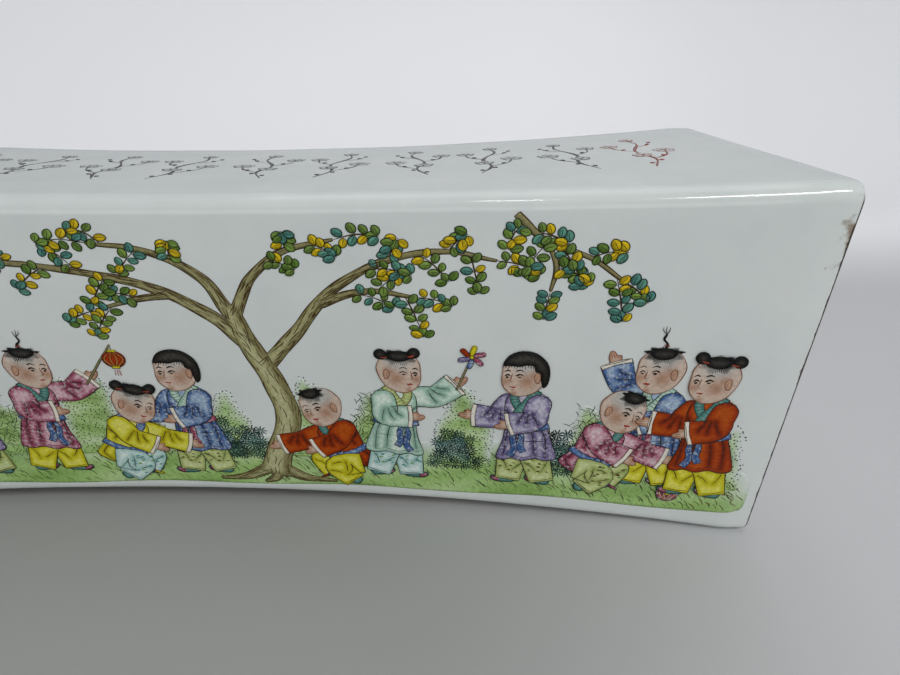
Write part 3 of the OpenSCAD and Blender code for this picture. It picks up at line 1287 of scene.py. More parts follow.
        canvas.shape(on(skull), complexion, grain=0.6, line=FLESH_INK, pen=0.28)
        ear = [(-0.55, 0.12), (-0.44, -0.06), (-0.5, -0.3), (-0.64, -0.36), (-0.72, -0.14), (-0.68, 0.08)]
        canvas.shape(on(ear), folded(Pigment.SKIN, edge=0.4), 0.4, grain=0.5, line=FLESH_INK, pen=0.22)
        canvas.brush(on([(-0.6, 0.0), (-0.54, -0.12), (-0.62, -0.22)]), 0.18, FLESH_INK, 0.4)
        # Brows, lids, pupils, nose, mouth and chin
        marks = (([(0.0, 0.2), (0.16, 0.27), (0.36, 0.2)], 0.5, INK),
                 ([(0.56, 0.2), (0.7, 0.26), (0.84, 0.18)], 0.45, INK),
                 ([(0.0, -0.02), (0.16, 0.06), (0.36, -0.02)], 0.6, INK),
                 ([(0.58, -0.02), (0.7, 0.05), (0.83, -0.03)], 0.54, INK),
                 ([(0.12, -0.05), (0.2, -0.08), (0.28, -0.05)], 0.75, INK),
                 ([(0.66, -0.06), (0.72, -0.08), (0.78, -0.06)], 0.7, INK),
                 ([(0.5, 0.1), (0.56, -0.14), (0.6, -0.27), (0.48, -0.31)], 0.32, FLESH_INK),
                 ([(0.34, -0.53), (0.44, -0.57), (0.5, -0.54), (0.62, -0.55)], 0.75, RED_INK),
                 ([(0.41, -0.66), (0.48, -0.69), (0.56, -0.66)], 0.3, "#b5694f"))
        for path, width, colour in marks:
            canvas.brush(on(path), width * fine, colour, 0.35)
        self.dress_hair(on)

    def dress_hair(self, on: Callable[[Points], Array]) -> None:
        """Draw the hair.

        Args:
            on: Moves points from head radii onto the canvas.
        """
        canvas = self.canvas
        black = folded(Pigment.HAIR, edge=0.4)
        ink = Pigment.HAIR.value[1]
        if self.hair is Hair.BOWL:
            cap = [(0.9, 0.5), (0.62, 0.94), (0.1, 1.14), (-0.5, 1.05), (-0.95, 0.66), (-1.1, 0.15),
                   (-1.04, -0.36), (-0.86, -0.56), (-0.76, -0.3), (-0.72, 0.1), (-0.5, 0.2), (-0.42, 0.46),
                   (-0.1, 0.5), (0.2, 0.44), (0.55, 0.48)]
            fringe = [(-0.4 + 0.11 * i, 0.5, -0.42 + 0.125 * i, 0.3 + 0.05 * (i % 3)) for i in range(12)]
        else:
            (x, y), wide = ((0.2, 0.84), 0.52) if self.hair is Hair.FORELOCK else ((-0.04, 0.86), 0.66)
            turns = np.linspace(0, 2 * math.pi, 56, endpoint=False)
            spread = [(wide * math.cos(t), (0.24 if math.sin(t) > 0 else 0.38) * math.sin(t)) for t in turns]
            cap = [(x + 0.8 * a, y + 0.8 * b) for a, b in spread]
            fringe = []
            for k, (a, b) in enumerate(spread):
                out = 1.14 + 0.16 * math.sin(7.3 * k) - 0.5 * min(0.0, b)
                fringe.append((x + 0.6 * a, y + 0.6 * b, x + out * a, y + out * b))
        canvas.shape(on(cap), black, line=ink)
        for a, b, c, d in fringe:
            canvas.brush(on([(a, b), ((a + c) / 2 + 0.01, (b + d) / 2), (c, d)]), 0.3, ink, 0.5)
        if self.hair is Hair.SPROUT:
            tail = [(-0.06, 1.05), (-0.1, 1.25), (0.06, 1.45), (-0.02, 1.66)]
            canvas.brush(on(tail), 0.75 * self.scale, ink, 0.4, ends=0.5)
            canvas.brush(on([(-0.2, 1.16), (0.02, 1.2)]), 0.6, RED_INK, 0.4, ends=0.8)
            for tip in ((0.16, 1.98), (0.04, 2.02), (-0.1, 1.96)):
                canvas.brush(on([(-0.02, 1.64), (tip[0] * 0.9, 1.82), tip]), 0.26, ink, 0.4)
        if self.hair is Hair.TWIN_KNOTS:
            for x, y in ((-0.86, 0.86), (0.62, 1.0)):
                knot = oval((x, y), 0.27, 0.25, np.linspace(0, 5.4, 7))
                canvas.shape(on(knot), black, 0.5, grain=0.6, line=ink)
                tie = [(x * 0.8 - 0.14, y * 0.8), (x * 0.8 + 0.14, y * 0.8 + 0.06)]
                canvas.brush(on(tie), 0.7, RED_INK, 0.4, ends=0.8)


@dataclass(frozen=True)
class Spot:
    """Where one copy of a mark goes: its place, turn, size and tint."""

    x: float
    up: float
    turn: float
    size: float
    tint: str


@dataclass
class Scatter:
    """Copies of one small painted mark, set on chosen spots of the front."""

    name: str
    mark: Canvas
    spots: list[Spot]
    level: float = 0.1
    levels: int = 1
    lift: float = 0.009

    @staticmethod
    def build_tree() -> NodeTree:
        """Build the node tree that sets copies on points and tints them.

        Returns:
            The tree, whose inputs are the points, the mark and the finish.
        """
        tree, add, given = new_tree("scattered_marks", {"Mark": "Object", "Finish": "Material"})
        mark = add("GeometryNodeObjectInfo", {"Object": given["Mark"]}).outputs["Geometry"]
        turn, size = (add(ATTRIBUTE, {"Name": name}) for name in ("turn", "size"))
        facing = add("ShaderNodeCombineXYZ", {"Y": turn})
        copies = add("GeometryNodeInstanceOnPoints", {
            "Points": given["Geometry"], "Instance": mark, "Rotation": facing, "Scale": size})
        real = add("GeometryNodeRealizeInstances", [copies])
        tints = [add(ATTRIBUTE, {"Name": name}, data_type="FLOAT_COLOR") for name in ("tint", "enamel")]
        mixed = add(VECTOR, tints, "MULTIPLY")
        tinted = add("GeometryNodeStoreNamedAttribute", {"Geometry": real, "Name": "enamel", "Value": mixed},
                     data_type="FLOAT_COLOR", domain="POINT")
        dressed = add("GeometryNodeSetMaterial", {"Geometry": tinted, "Material": given["Finish"]})
        add("NodeGroupOutput", [dressed])
        return tree

    def build(self) -> Piece:
        """Set the copies and bend them onto the pillow.

        Returns:
            The finished piece.
        """
        form, finish, master = self.mark.form, EnamelFinish().material(), self.mark.blank()
        face_y = -(form.depth / 2 + form.coat + self.level)
        places = [(s.x, face_y - self.lift * (k % self.levels), s.up) for k, s in enumerate(self.spots)]
        piece = mesh_object(self.name, np.array(places), [])
        given = (("turn", "FLOAT", "value", [-math.radians(s.turn) for s in self.spots]),
                 ("size", "FLOAT", "value", [s.size for s in self.spots]),
                 ("tint", "FLOAT_COLOR", "color", np.array([linear(s.tint) for s in self.spots]).ravel()))
        for name, kind, channel, values in given:
            piece.data.attributes.new(name, kind, "POINT").data.foreach_set(channel, values)
        tree = bpy.data.node_groups.get("scattered_marks") or self.build_tree()
        add_modifier(piece, tree, {"Mark": master, "Finish": finish})
        form.bend(piece, finish)
        settle(piece)
        bpy.data.objects.remove(master)
        for name, *_ in given:
            if name in piece.data.attributes:
                piece.data.attributes.remove(piece.data.attributes[name])
        return piece


@dataclass
class GrassBank:
    """Strip of grass that the children stand on, with short slanting blades."""

    form: HollowForm
    half_length: float = 222.0
    foot: float = 5.6
    end_lift: float = 4.0
    crest: float = 30.0
    waist: float = 15.0
    end_reach: float = 8.0
    blades: int = 950
    brown_from: float = 203.0
    seed: int = 11

    def taper(self, x: float) -> float:
        """Return the share of the full height that is left at x, near the round ends."""
        past = max(0.0, (abs(x) - self.half_length) / self.end_reach + 1)
        return math.sqrt(max(0.0, 1 - past ** 2))

    def foot_at(self, x: float) -> float:
        """Return the height of the lower rim at x."""
        foot = self.foot + self.end_lift * (x / self.half_length) ** 2 + 0.5 * math.sin(x / 11.0)
        return self.waist - (self.waist - foot) * self.taper(x)

    def crest_at(self, x: float) -> float:
        """Return the height of the top of the grass at x."""
        swell = 1.6 * math.sin(x / 17.0) + 1.1 * math.sin(x / 7.3 + 1.0)
        return self.waist + (self.crest + swell - self.waist) * self.taper(x)

    def build(self) -> list[Piece]:
        """Build the wash and its blades.

        Returns:
            The finished pieces.
        """
        xs = np.arange(1 - self.half_length, self.half_length, 2.0)
        lower = [(x, self.foot_at(x)) for x in xs]
        upper = [(x, self.crest_at(x)) for x in xs[::-1]]
        rim = smooth_path(upper[::-1], step=2.0)
        canvas = Canvas("grass_bank", self.form, level=0.02)
        canvas.shape(lower + upper, faded(Pigment.GRASS, 6.0, 9.0, rim), 2.0, grain=1.2, line=None)
        chance = random.Random(self.seed)
        blade = Canvas("blade", self.form, Face.LOOSE, level=0.0)
        blade.brush([(0.4, 0), (0.1, 1.2), (-0.9, 2.6)], 0.26, WHITE, 0.9)
        green, brown = ("#46491f", "#3b3a1c", "#5c6b30"), ("#6b4526", "#573a20", "#46491f")
        spots = []
        for _ in range(self.blades):
            x = chance.uniform(2 - self.half_length, self.half_length - 2)
            up = chance.uniform(self.foot_at(x) + 0.3, max(self.foot_at(x) + 1, self.crest_at(x) - 7.0))
            spots.append(Spot(x, up, chance.uniform(-4, 34), chance.uniform(0.7, 1.4), chance.choice(
                brown if x > self.brown_from else green)))
        return [canvas.build(), Scatter("grass_blades", blade, spots, 0.035).build()]


@dataclass
class Shrubs:
    """Low stippled or hatched shrubs and dark needle bushes along the top of the bank.

    Each shrub is the middle of its foot, its width and its height.
    """

    form: HollowForm
    ground: float
    stippled: Points
    hatched: Points
    needles: Points
    row_gap: float = 2.4
    star_gap: float = 2.7
    seed: int = 5

    def dome(self, x: float, width: float, height: float) -> Array:
        """Cloud-like upper rim of a shrub, from its right foot to its left.

        Args:
            x: Middle of its foot.
            width: Its full width.
            height: Its height.

        Returns:
            Points along the rim.
        """
        points = []
        for i in range(15):
            turn = math.pi * i / 14
            reach = 1 + 0.1 * math.sin(5 * turn + x)
            side = math.copysign(abs(math.cos(turn)) ** 0.7, math.cos(turn))
            points.append((x + width / 2 * side * reach,
                           self.ground + height * math.sin(turn) ** 0.6 * reach))
        return smooth_path(points, step=1.0)

    def sprinkle(self, chance: random.Random, rim: Array, density: float) -> Array:
        """Loosely spaced places over a shrub and a little past its rim.

        Args:
            chance: Source of the random numbers.
            rim: Its upper rim.
            density: Places on each square millimetre.

        Returns:
            Rows of x and height.
        """
        gap = density ** -0.5
        tries = np.array([(x + chance.uniform(-0.35, 0.35) * gap, up + chance.uniform(-0.35, 0.35) * gap)
                          for x, up in staggered(rim.min(0) - 1.0, rim.max(0) + 1.0, gap)])
        keep = np.where(inside(tries, rim), 0.9, np.exp(-distance(tries, rim) / 0.6))
        return tries[[chance.random() < k for k in keep]]

    def build(self) -> list[Piece]:
        """Build the washes, the stipples, the hatching and the needles.

        Returns:
            The finished pieces.
        """
        chance = random.Random(self.seed)
        canvas = Canvas("shrubs", self.form)
        grass = np.append(Pigment.GRASS.tones()[0], 1.0)
        dots, dashes, stars = [], [], []
        for group, level in ((self.stippled, 0.03), (self.hatched, 0.043), (self.needles, 0.055)):
            for x, width, height in group:
                rim = self.dome(x, width, height)
                leafy = faded(Pigment.SHRUB, 2.2, 5.0, rim)
                if group is self.needles:
                    rim = self.dome(x, 0.75 * width, 0.75 * height)
                    leafy = folded(Pigment.NEEDLE)

                def rooted(points: Array, edge: Array, leafy: Shade = leafy) -> Array:
                    """Leafy wash that runs into the colour of the grass at its foot."""
                    share = np.clip((points[:, 1:] - self.ground) / 6.0, 0, 1)
                    return grass + (leafy(points, edge) - grass) * share

                canvas.level = level
                canvas.wash(rim, rooted, grain=0.9, line=None)
                if group is self.stippled:
                    dots += [Spot(px, up, chance.uniform(0, 180), chance.uniform(0.6, 1.1), "#2a3320")
                             for px, up in self.sprinkle(chance, rim, 0.5)]
                elif group is self.hatched:
                    dashes += [Spot(px, up, chance.uniform(-75, 75), chance.uniform(0.7, 1.0), "#3d4d24")
                               for px, up in self.sprinkle(chance, rim, 0.55)]
        for x, width, height in self.needles:
            for row in range(int(height / self.row_gap) + 1):
                up = self.row_gap * row / height
                half = int(width / 2 * math.sqrt(1.05 - up ** 2) / self.star_gap)
                for k in range(-half, half + 1):
                    px = x + self.star_gap * (k + 0.5 * (row % 2)) + chance.uniform(-0.5, 0.5)
                    stars.append(Spot(px, self.ground + up * height + chance.uniform(-0.4, 0.4),
                                      chance.uniform(0, 180), chance.uniform(0.8, 1.05),
                                      chance.choice(("#16302b", "#10231e", "#24423c", "#345852"))))
        dot, dash, star = (Canvas(name, self.form, Face.LOOSE, level=0.0) for name in ("dot", "dash", "star"))
        dot.stroke(np.array([(-0.28, 0.0), (0.0, 0.0), (0.28, 0.0)]), 0.62, WHITE, ends=0.6)
        dash.brush([(0, -1.6), (0.2, 0), (0, 1.6)], 0.3, WHITE, 1.0)
        for turn in range(0, 360, 40):
            way = np.array([math.sin(math.radians(turn)), math.cos(math.radians(turn))])
            star.stroke(np.array([way * 0.3, way * 1.3, way * 2.4]), 0.6, WHITE, ends=0.4)
        scatters = (("shrub_stipples", dot, dots, 0.039), ("shrub_hatching", dash, dashes, 0.051),
                    ("needle_bushes", star, stars, 0.063))
        return [canvas.build()] + [Scatter(*row).build() for row in scatters]


@dataclass
class Tree:
    """Bent tree with a hatched trunk, spreading roots and leafy twigs under the rolled edge.

    A limb is a row of points, each with half the limb's width there.
    """

    name: str
    form: HollowForm
    limbs: Sequence[Points]
    seed: int = 3
    leaf_gap: float = 3.9
    twig_from: float = 1.25
    twig_floor: float = 60.0
    ceiling: float = 112.0
    bark_ink: str = "#4c3b1e"
    leaf_ink: str = "#4a4a42"
    tints: tuple[str, ...] = ("#66803a", "#568a78", "#728f3e", "#c9ad16", "#58762e", "#4c8074", "#c7ab16",
                              "#66803a")

    def leaf(self) -> Canvas:
        """Draw one oval leaf with its rim line and midrib, pointing up.

        Returns:
            The drawing.
        """
        canvas = Canvas("leaf", self.form, Face.LOOSE, level=0.0)

        def two_sided(points: Array, rim: Array) -> Array:
            """Paler on one side of the midrib, deeper on the other."""
            light = np.where(points[:, 0] < 0, 0.85, 1.25) - 0.35 * np.exp(-rim / 0.3)
            return np.repeat(light[:, None], 3, axis=1)

        canvas.shape([(0, 0.6), (1.15, 1.4), (1.5, 2.7), (1.1, 3.9), (0, 4.7), (-1.1, 3.9), (-1.5, 2.7),
                      (-1.15, 1.4)], two_sided, 0.9, grain=0.9, line=self.leaf_ink, pen=0.32)
        canvas.stroke(np.array([(0, 0), (0.05, 2.1), (0, 4.2)]), 0.26, self.leaf_ink)
        return canvas

    def twigs(self, chance: random.Random) -> list[Array]:
        """Short twigs that leave the thin stretches of the limbs, first one way and then the other.

        Args:
            chance: Source of the random numbers.

        Returns:
            Points along each twig.
        """
        found = []
        for limb in self.limbs:
            path = smooth_path(limb, step=1.0)
            side = side_steps(path[:, :2])
            hand = chance.choice((-1, 1))
            k = chance.randint(0, 3)
            while k < len(path):
                if path[k, 2] < self.twig_from and path[k, 1] > self.twig_floor:
                    ahead = np.array([side[k][1], -side[k][0]])
                    bend = math.radians(hand * chance.uniform(28, 68)) if k < len(path) - 2 else 0.0
                    way = ahead * math.cos(bend) + side[k] * math.sin(bend)
                    reach = chance.uniform(8.0, 15.0)
                    tip = path[k, :2] + way * reach + (0, -0.16 * reach)
                    middle = path[k, :2] + way * reach * 0.5
                    found.append(np.minimum([path[k, :2], middle, tip], [math.inf, self.ceiling]))
                    hand = -hand
                k += chance.randint(6, 10) if k < len(path) - 11 else max(1, len(path) - 1 - k)
        return found

    def hatch(self, wood: Canvas, limb: Array, chance: random.Random) -> None:
        """Draw broken bark lines along a limb, closest together on its shaded side.

        Args:
            wood: Canvas that gets them.
            limb: Points along the limb, with half its width.
            chance: Source of the random numbers.
        """
        middle = smooth_path(limb, step=0.8)
        side = side_steps(middle[:, :2])
        for share in (-0.86, -0.6, -0.25, 0.2, 0.42, 0.6, 0.74, 0.88):
            k = chance.randint(0, 6)
            while k < len(middle) - 4:
                stop = min(len(middle), k + chance.randint(4, 9))
                drift = share + 0.1 * np.sin(np.arange(k, stop) * 0.45 + 9 * share)
                if middle[k, 2] > 1.0:
                    off = side[k:stop] * (middle[k:stop, 2] * drift)[:, None]
                    wood.stroke(middle[k:stop, :2] - off, 0.32, self.bark_ink)
                k = stop + chance.randint(1, 7)

    def build(self) -> list[Piece]:
        """Build the wood and the leaves.

        Returns:
            The finished pieces.
        """
        chance = random.Random(self.seed)
        wood = Canvas(self.name, self.form, level=0.07)
        twigs = self.twigs(chance)
        wood.strokes([smooth_path(twig) for twig in twigs], 0.5, self.bark_ink)
        limbs = [np.array(limb) for limb in self.limbs]
        outlines = [tube(limb[:, :2], limb[:, 2]) for limb in limbs]
        # All rim lines come first, so that the washes hide them where limbs meet
        for outline in outlines:
            wood.stroke(np.vstack([outline, outline[:1]]), 0.8, self.bark_ink, ends=1.0)
        for limb, outline in zip(limbs, outlines):
            shaded = smooth_path(limb, step=1.5)
            edge = shaded[:, :2] - side_steps(shaded[:, :2]) * shaded[:, 2:] * 0.75
            wood.wash(outline, folded(Pigment.BARK, [edge], 0.5, 1.3, 0.6), line=None)
        for limb in limbs:
            self.hatch(wood, limb, chance)
        spots = []
        for twig in twigs:
            path = smooth_path(twig, step=self.leaf_gap)
            side = side_steps(path)
            for k in range(1, len(path)):
                heading = math.degrees(math.atan2(side[k][1], side[k][0]))
                for spread in ((-56, 56) if k < len(path) - 1 else (-58, 0, 58)):
                    spots.append(Spot(*path[k], heading + spread + chance.uniform(-14, 14),
                                      chance.uniform(0.74, 0.95), chance.choice(self.tints)))
        chance.shuffle(spots)
        leaves = Scatter(f"{self.name}_leaves", self.leaf(), spots, 0.1, levels=13)
        return [wood.build(), leaves.build()]


class Toy(Enum):
    """Things that the children play with, each named for the method that draws it."""

    NONE = "none"
    LANTERN = "lantern"
    PINWHEEL = "pinwheel"
    BANNER = "banner"
    LOTUS = "lotus"
    DRUM = "drum"
    BALL = "ball"
    KITE = "kite"


@dataclass
class Toys:
    """Draws a toy at a child's hand, or on the ground before it. The way is 1 or -1, as the child faces."""

    canvas: Canvas
    hand: Array
    way: int
    ground: float

    def reach(self, ahead: float, up: float) -> Array:
        """Return the place that lies so far ahead of the hand and above it."""
        return self.hand + (ahead * self.way, up)

    def pole(self, start: Array, end: Array) -> None:
        """Draw a thin bamboo pole."""
        self.canvas.ribbon([start, (start + end) / 2, end], [0.32, 0.32, 0.25],
                           folded(Pigment.BARK, edge=0.2), 1.2, grain=0.8, pen=0.2)

    def disc(self, middle: Array, wide: float, high: float, shade: Shade) -> None:
        """Lay a round wash."""
        turns = np.linspace(0, 2 * math.pi, 24, endpoint=False)
        self.canvas.wash(oval(middle, wide, high, turns), shade, grain=0.6, pen=0.26)

    def bead(self, middle: Array, size: float, edge: float = 0.2) -> None:
        """Lay a small yellow disc."""
        self.disc(middle, size, size, folded(Pigment.YELLOW, edge=edge))

    def lantern(self) -> None:
        """Round paper lantern on a pole, with ribs and a tassel."""
        tip = self.reach(9.0, 13.0)
        self.pole(self.reach(-2.5, -4.0), tip)
        middle = tip - (0, 6.2)
        self.canvas.brush([tip, tip - (0, 2.5)], 0.25, INK, 0.6)
        ribs = [smooth_path([middle + (s * 0.4, 3.4), middle + (s * 3.0, 0), middle + (s * 0.4, -3.4)])
                for s in (-1, -0.35, 0.35, 1)]
        self.disc(middle, 3.7, 3.5, folded(Pigment.IRON_RED, ribs, 0.6, 0.4))
        self.canvas.strokes(ribs, 0.2, "#d3b35a")
        for up in (3.5, -3.5):
            self.canvas.ribbon([middle + (-1.3, up), middle + (0, up + 0.1), middle + (1.3, up)], [0.45] * 3,
                               folded(Pigment.YELLOW, edge=0.2), grain=0.6, pen=0.2)
        for s in (-0.6, 0, 0.6):
            self.canvas.brush([middle + (s, -4.0), middle + (s * 1.6, -7.0)], 0.32, RED_INK)

    def pinwheel(self) -> None:
        """Six-sailed paper wheel on a stick."""
        hub = self.reach(3.5, 10.0)
        self.pole(self.reach(-1.2, -3.4), hub)
        for k in range(6):
            cos, sin = (f(math.radians(60 * k + 12)) for f in (math.cos, math.sin))
            sail = [(0, 0), (1.6, 1.2), (4.4, 1.1), (4.0, -0.4)]
            self.canvas.shape([hub + (a * cos - b * sin, a * sin + b * cos) for a, b in sail],
                              folded(list(Pigment)[k % 5], edge=0.5), 0.6, grain=0.6, pen=0.22)
        self.bead(hub, 0.7)

    def banner(self) -> None:
        """Long streamer flying from a pole."""
        tip = self.reach(3.0, 15.0)
        self.pole(self.reach(-1.5, -6.0), tip)
        fly = [tip + (-self.way * x, -1.6 + 1.5 * math.sin(x * 0.55) - 0.14 * x)
               for x in (0, 4, 8, 12, 16)]
        self.canvas.ribbon(fly, [1.7, 1.7, 1.6, 1.4, 0.5],
                           folded(Pigment.IRON_RED, [smooth_path(fly)], 0.6, 0.6), pen=0.26)
        for spot in smooth_path(fly, step=2.6)[1:-2]:
            self.bead(spot, 0.55)

    def lotus(self) -> None:
        """Lotus leaf carried as a sunshade."""
        top = self.reach(1.5, 13.0)
        stem = [self.reach(-0.5, -5.0), (self.hand + top) / 2 + (0.8 * self.way, 0), top]
        self.canvas.ribbon(stem, [0.35] * 3, folded(Pigment.GRASS, edge=0.2), 1.2, grain=0.8, pen=0.2)
        turns = np.linspace(0, 2 * math.pi, 28, endpoint=False)
        wave = 1 + 0.09 * np.sin(7 * turns)
        ring = top + np.column_stack([7.5 * wave * np.cos(turns), 2.3 + 3.4 * wave * np.sin(turns)])
        heart = top + (0, 1.6)
        veins = [smooth_path([heart, heart * 0.45 + tip * 0.55, tip * 0.93 + top * 0.07])
                 for tip in ring[::3]]
        self.canvas.shape(ring, folded(Pigment.TEAL, veins, 0.8, 0.5), pen=0.28)
        self.canvas.strokes(veins, 0.22, INK)

    def drum(self) -> None:
        """Barrel drum on the grass, with a studded rim."""
        foot = np.array([self.hand[0] + 3.0 * self.way, self.ground - 0.5])
        bands = [smooth_path([foot + (s * 4.6, 1.4), foot + (s * 5.4, 5.4), foot + (s * 4.6, 9.6)])
                 for s in (-0.6, 0.0, 0.6)]
        barrel = ((-5.2, 1.2), (-6.2, 5.5), (-5.2, 10.2), (5.2, 10.2), (6.2, 5.5), (5.2, 1.2), (2.5, 0.2),
                  (-2.5, 0.2))
        self.canvas.shape(foot + barrel, folded(Pigment.IRON_RED, bands, 0.9, 0.7))
        self.canvas.strokes(bands, 0.26, INK)
        self.disc(foot + (0, 10.4), 5.5, 1.9, folded(Pigment.PAPER, edge=0.5))
        for k in range(-4, 5):
            for up in (8.3, 1.9):
                drop = -1.3 * math.cos(k * 0.34)
                self.bead(foot + (1.22 * k, up + drop + 0.6), 0.34)

    def ball(self) -> None:
        """Silk ball with coloured gores."""
        middle = np.array([self.hand[0] + 2.2 * self.way, self.ground + 3.0])
        gores = [smooth_path([middle + (0.3 * s, 3.4), middle + (2.6 * s, 0), middle + (0.3 * s, -3.4)])
                 for s in (-1, -0.4, 0.4, 1)]
        self.disc(middle, 3.7, 3.7, folded(Pigment.ROSE, gores, 0.7, 0.5))
        self.canvas.strokes(gores, 0.28, "#dcd08a")
        self.bead(middle, 1.0, 0.3)

    def kite(self) -> None:
        """Swallow kite on a slack line, with two tails."""
        middle = self.reach(16.0, 36.0)
        line = [self.hand, self.reach(6.0, 9.0), middle - (3.0 * self.way, 8.0), middle]
        self.canvas.brush(line, 0.2, INK)
        for s in (-1, 1):
            tail = [middle + (0.8 * s, -3.5), middle + (2.0 * s, -8.0), middle + (3.6 * s, -12.0)]
            self.canvas.ribbon(tail, [0.9, 1.0, 1.3], folded(Pigment.TEAL, edge=0.5), pen=0.24)
            wing = [middle + (s * x, y)
                    for x, y in ((0.4, 1.5), (4.0, 3.6), (8.6, 2.2), (7.4, -0.6), (3.0, -1.4))]
            self.canvas.shape(wing, folded(Pigment.BLUE, edge=0.8), pen=0.26)
            self.bead(middle + (s * 5.2, 1.2), 0.9, 0.3)
        body = middle + ((0, 5.0), (1.6, 3.0), (1.4, -3.0), (0, -5.0), (-1.4, -3.0), (-1.6, 3.0))
        self.canvas.shape(body, folded(Pigment.ROSE, edge=0.7), pen=0.26)

    def draw(self, toy: Toy) -> None:
        """Draw a toy, if there is one."""
        if toy is not Toy.NONE:
            getattr(self, toy.value)()


@dataclass
class SeatSprigs:
    """Row of small blossom sprigs, drawn in grey ink along the seat, with a red one at each end."""

    canvas: Canvas
    gap: float = 27.0
    pairs: int = 7
    level: float = 0.02
    ink: str = "#4d4943"
    red: str = "#9c4a38"

    def blossom(self, middle: Array, size: float, ink: str) -> None:
        """Draw a five-petalled flower.

        Args:
            middle: Its middle.
            size: Distance of each petal from the middle.
            ink: Colour of its lines.
        """
        pale = plain(tone(ink) * 0.25 + GLAZE_TONE * 0.75)
        ways = [np.array([math.cos(a), math.sin(a)]) for a in (math.radians(36 * k + 20) for k in range(10))]
        for way in ways[::2]:
            petal = oval(middle + size * way, 0.75 * size, 0.75 * size, np.linspace(0, 5.6, 8))
            self.canvas.shape(petal, pale, 0.6, grain=0.9, line=ink, pen=0.42)
        for way in ways[1::2]:
            vein = [middle + way * size * share for share in (0, 0.4, 0.8)]
            self.canvas.stroke(np.array(vein), 0.36, ink)

    def sprig(self, x: float, mirror: int, ink: str) -> None:
        """Draw a bent twig with blossoms and buds.

        Args:
            x: Where it stands along the seat.
            mirror: 1 or -1, which way it leans.
            ink: Colour of its lines.
        """
        def on(points: Points) -> Array:
            """Move points from the sprig's own frame onto the seat."""
            return np.array([(x + mirror * a, b) for a, b in points])

        for path, width in (([(-5, -26), (-1, -12), (-3, 4), (2, 20), (1, 30)], 1.3),
                            ([(-1, -12), (5, -5), (7, 3)], 0.9), ([(-3, 4), (-8, 10), (-9, 17)], 0.8),
                            ([(0, 14), (5, 17), (7, 22)], 0.7)):
            self.canvas.brush(on(path), width, ink, 1.0)
        for spot, size in (((7, 4), 2.2), ((-9, 18), 1.9), ((1, 31), 1.6), ((-3, -4), 1.9)):
            self.blossom(on([spot])[0], size, ink)
        for spot in ((7.5, 23), (5.5, 18.5), (-6, 9), (3.5, -6), (-4.5, -20), (0, -15)):
            bud = oval(spot, 0.8, 0.8, np.linspace(0, 5.4, 7))
            self.canvas.shape(on(bud), plain(tone(ink)), 0.6, grain=0.8, line=None)

    def build(self) -> Piece:
        """Build the row.

        Returns:
            The finished piece.
        """
        for k in range(-self.pairs, self.pairs + 1):
            self.canvas.level = self.level
            ink = self.red if abs(k) == self.pairs else self.ink
            self.sprig(k * self.gap, 1 if k % 2 else -1, ink)
        return self.canvas.build()


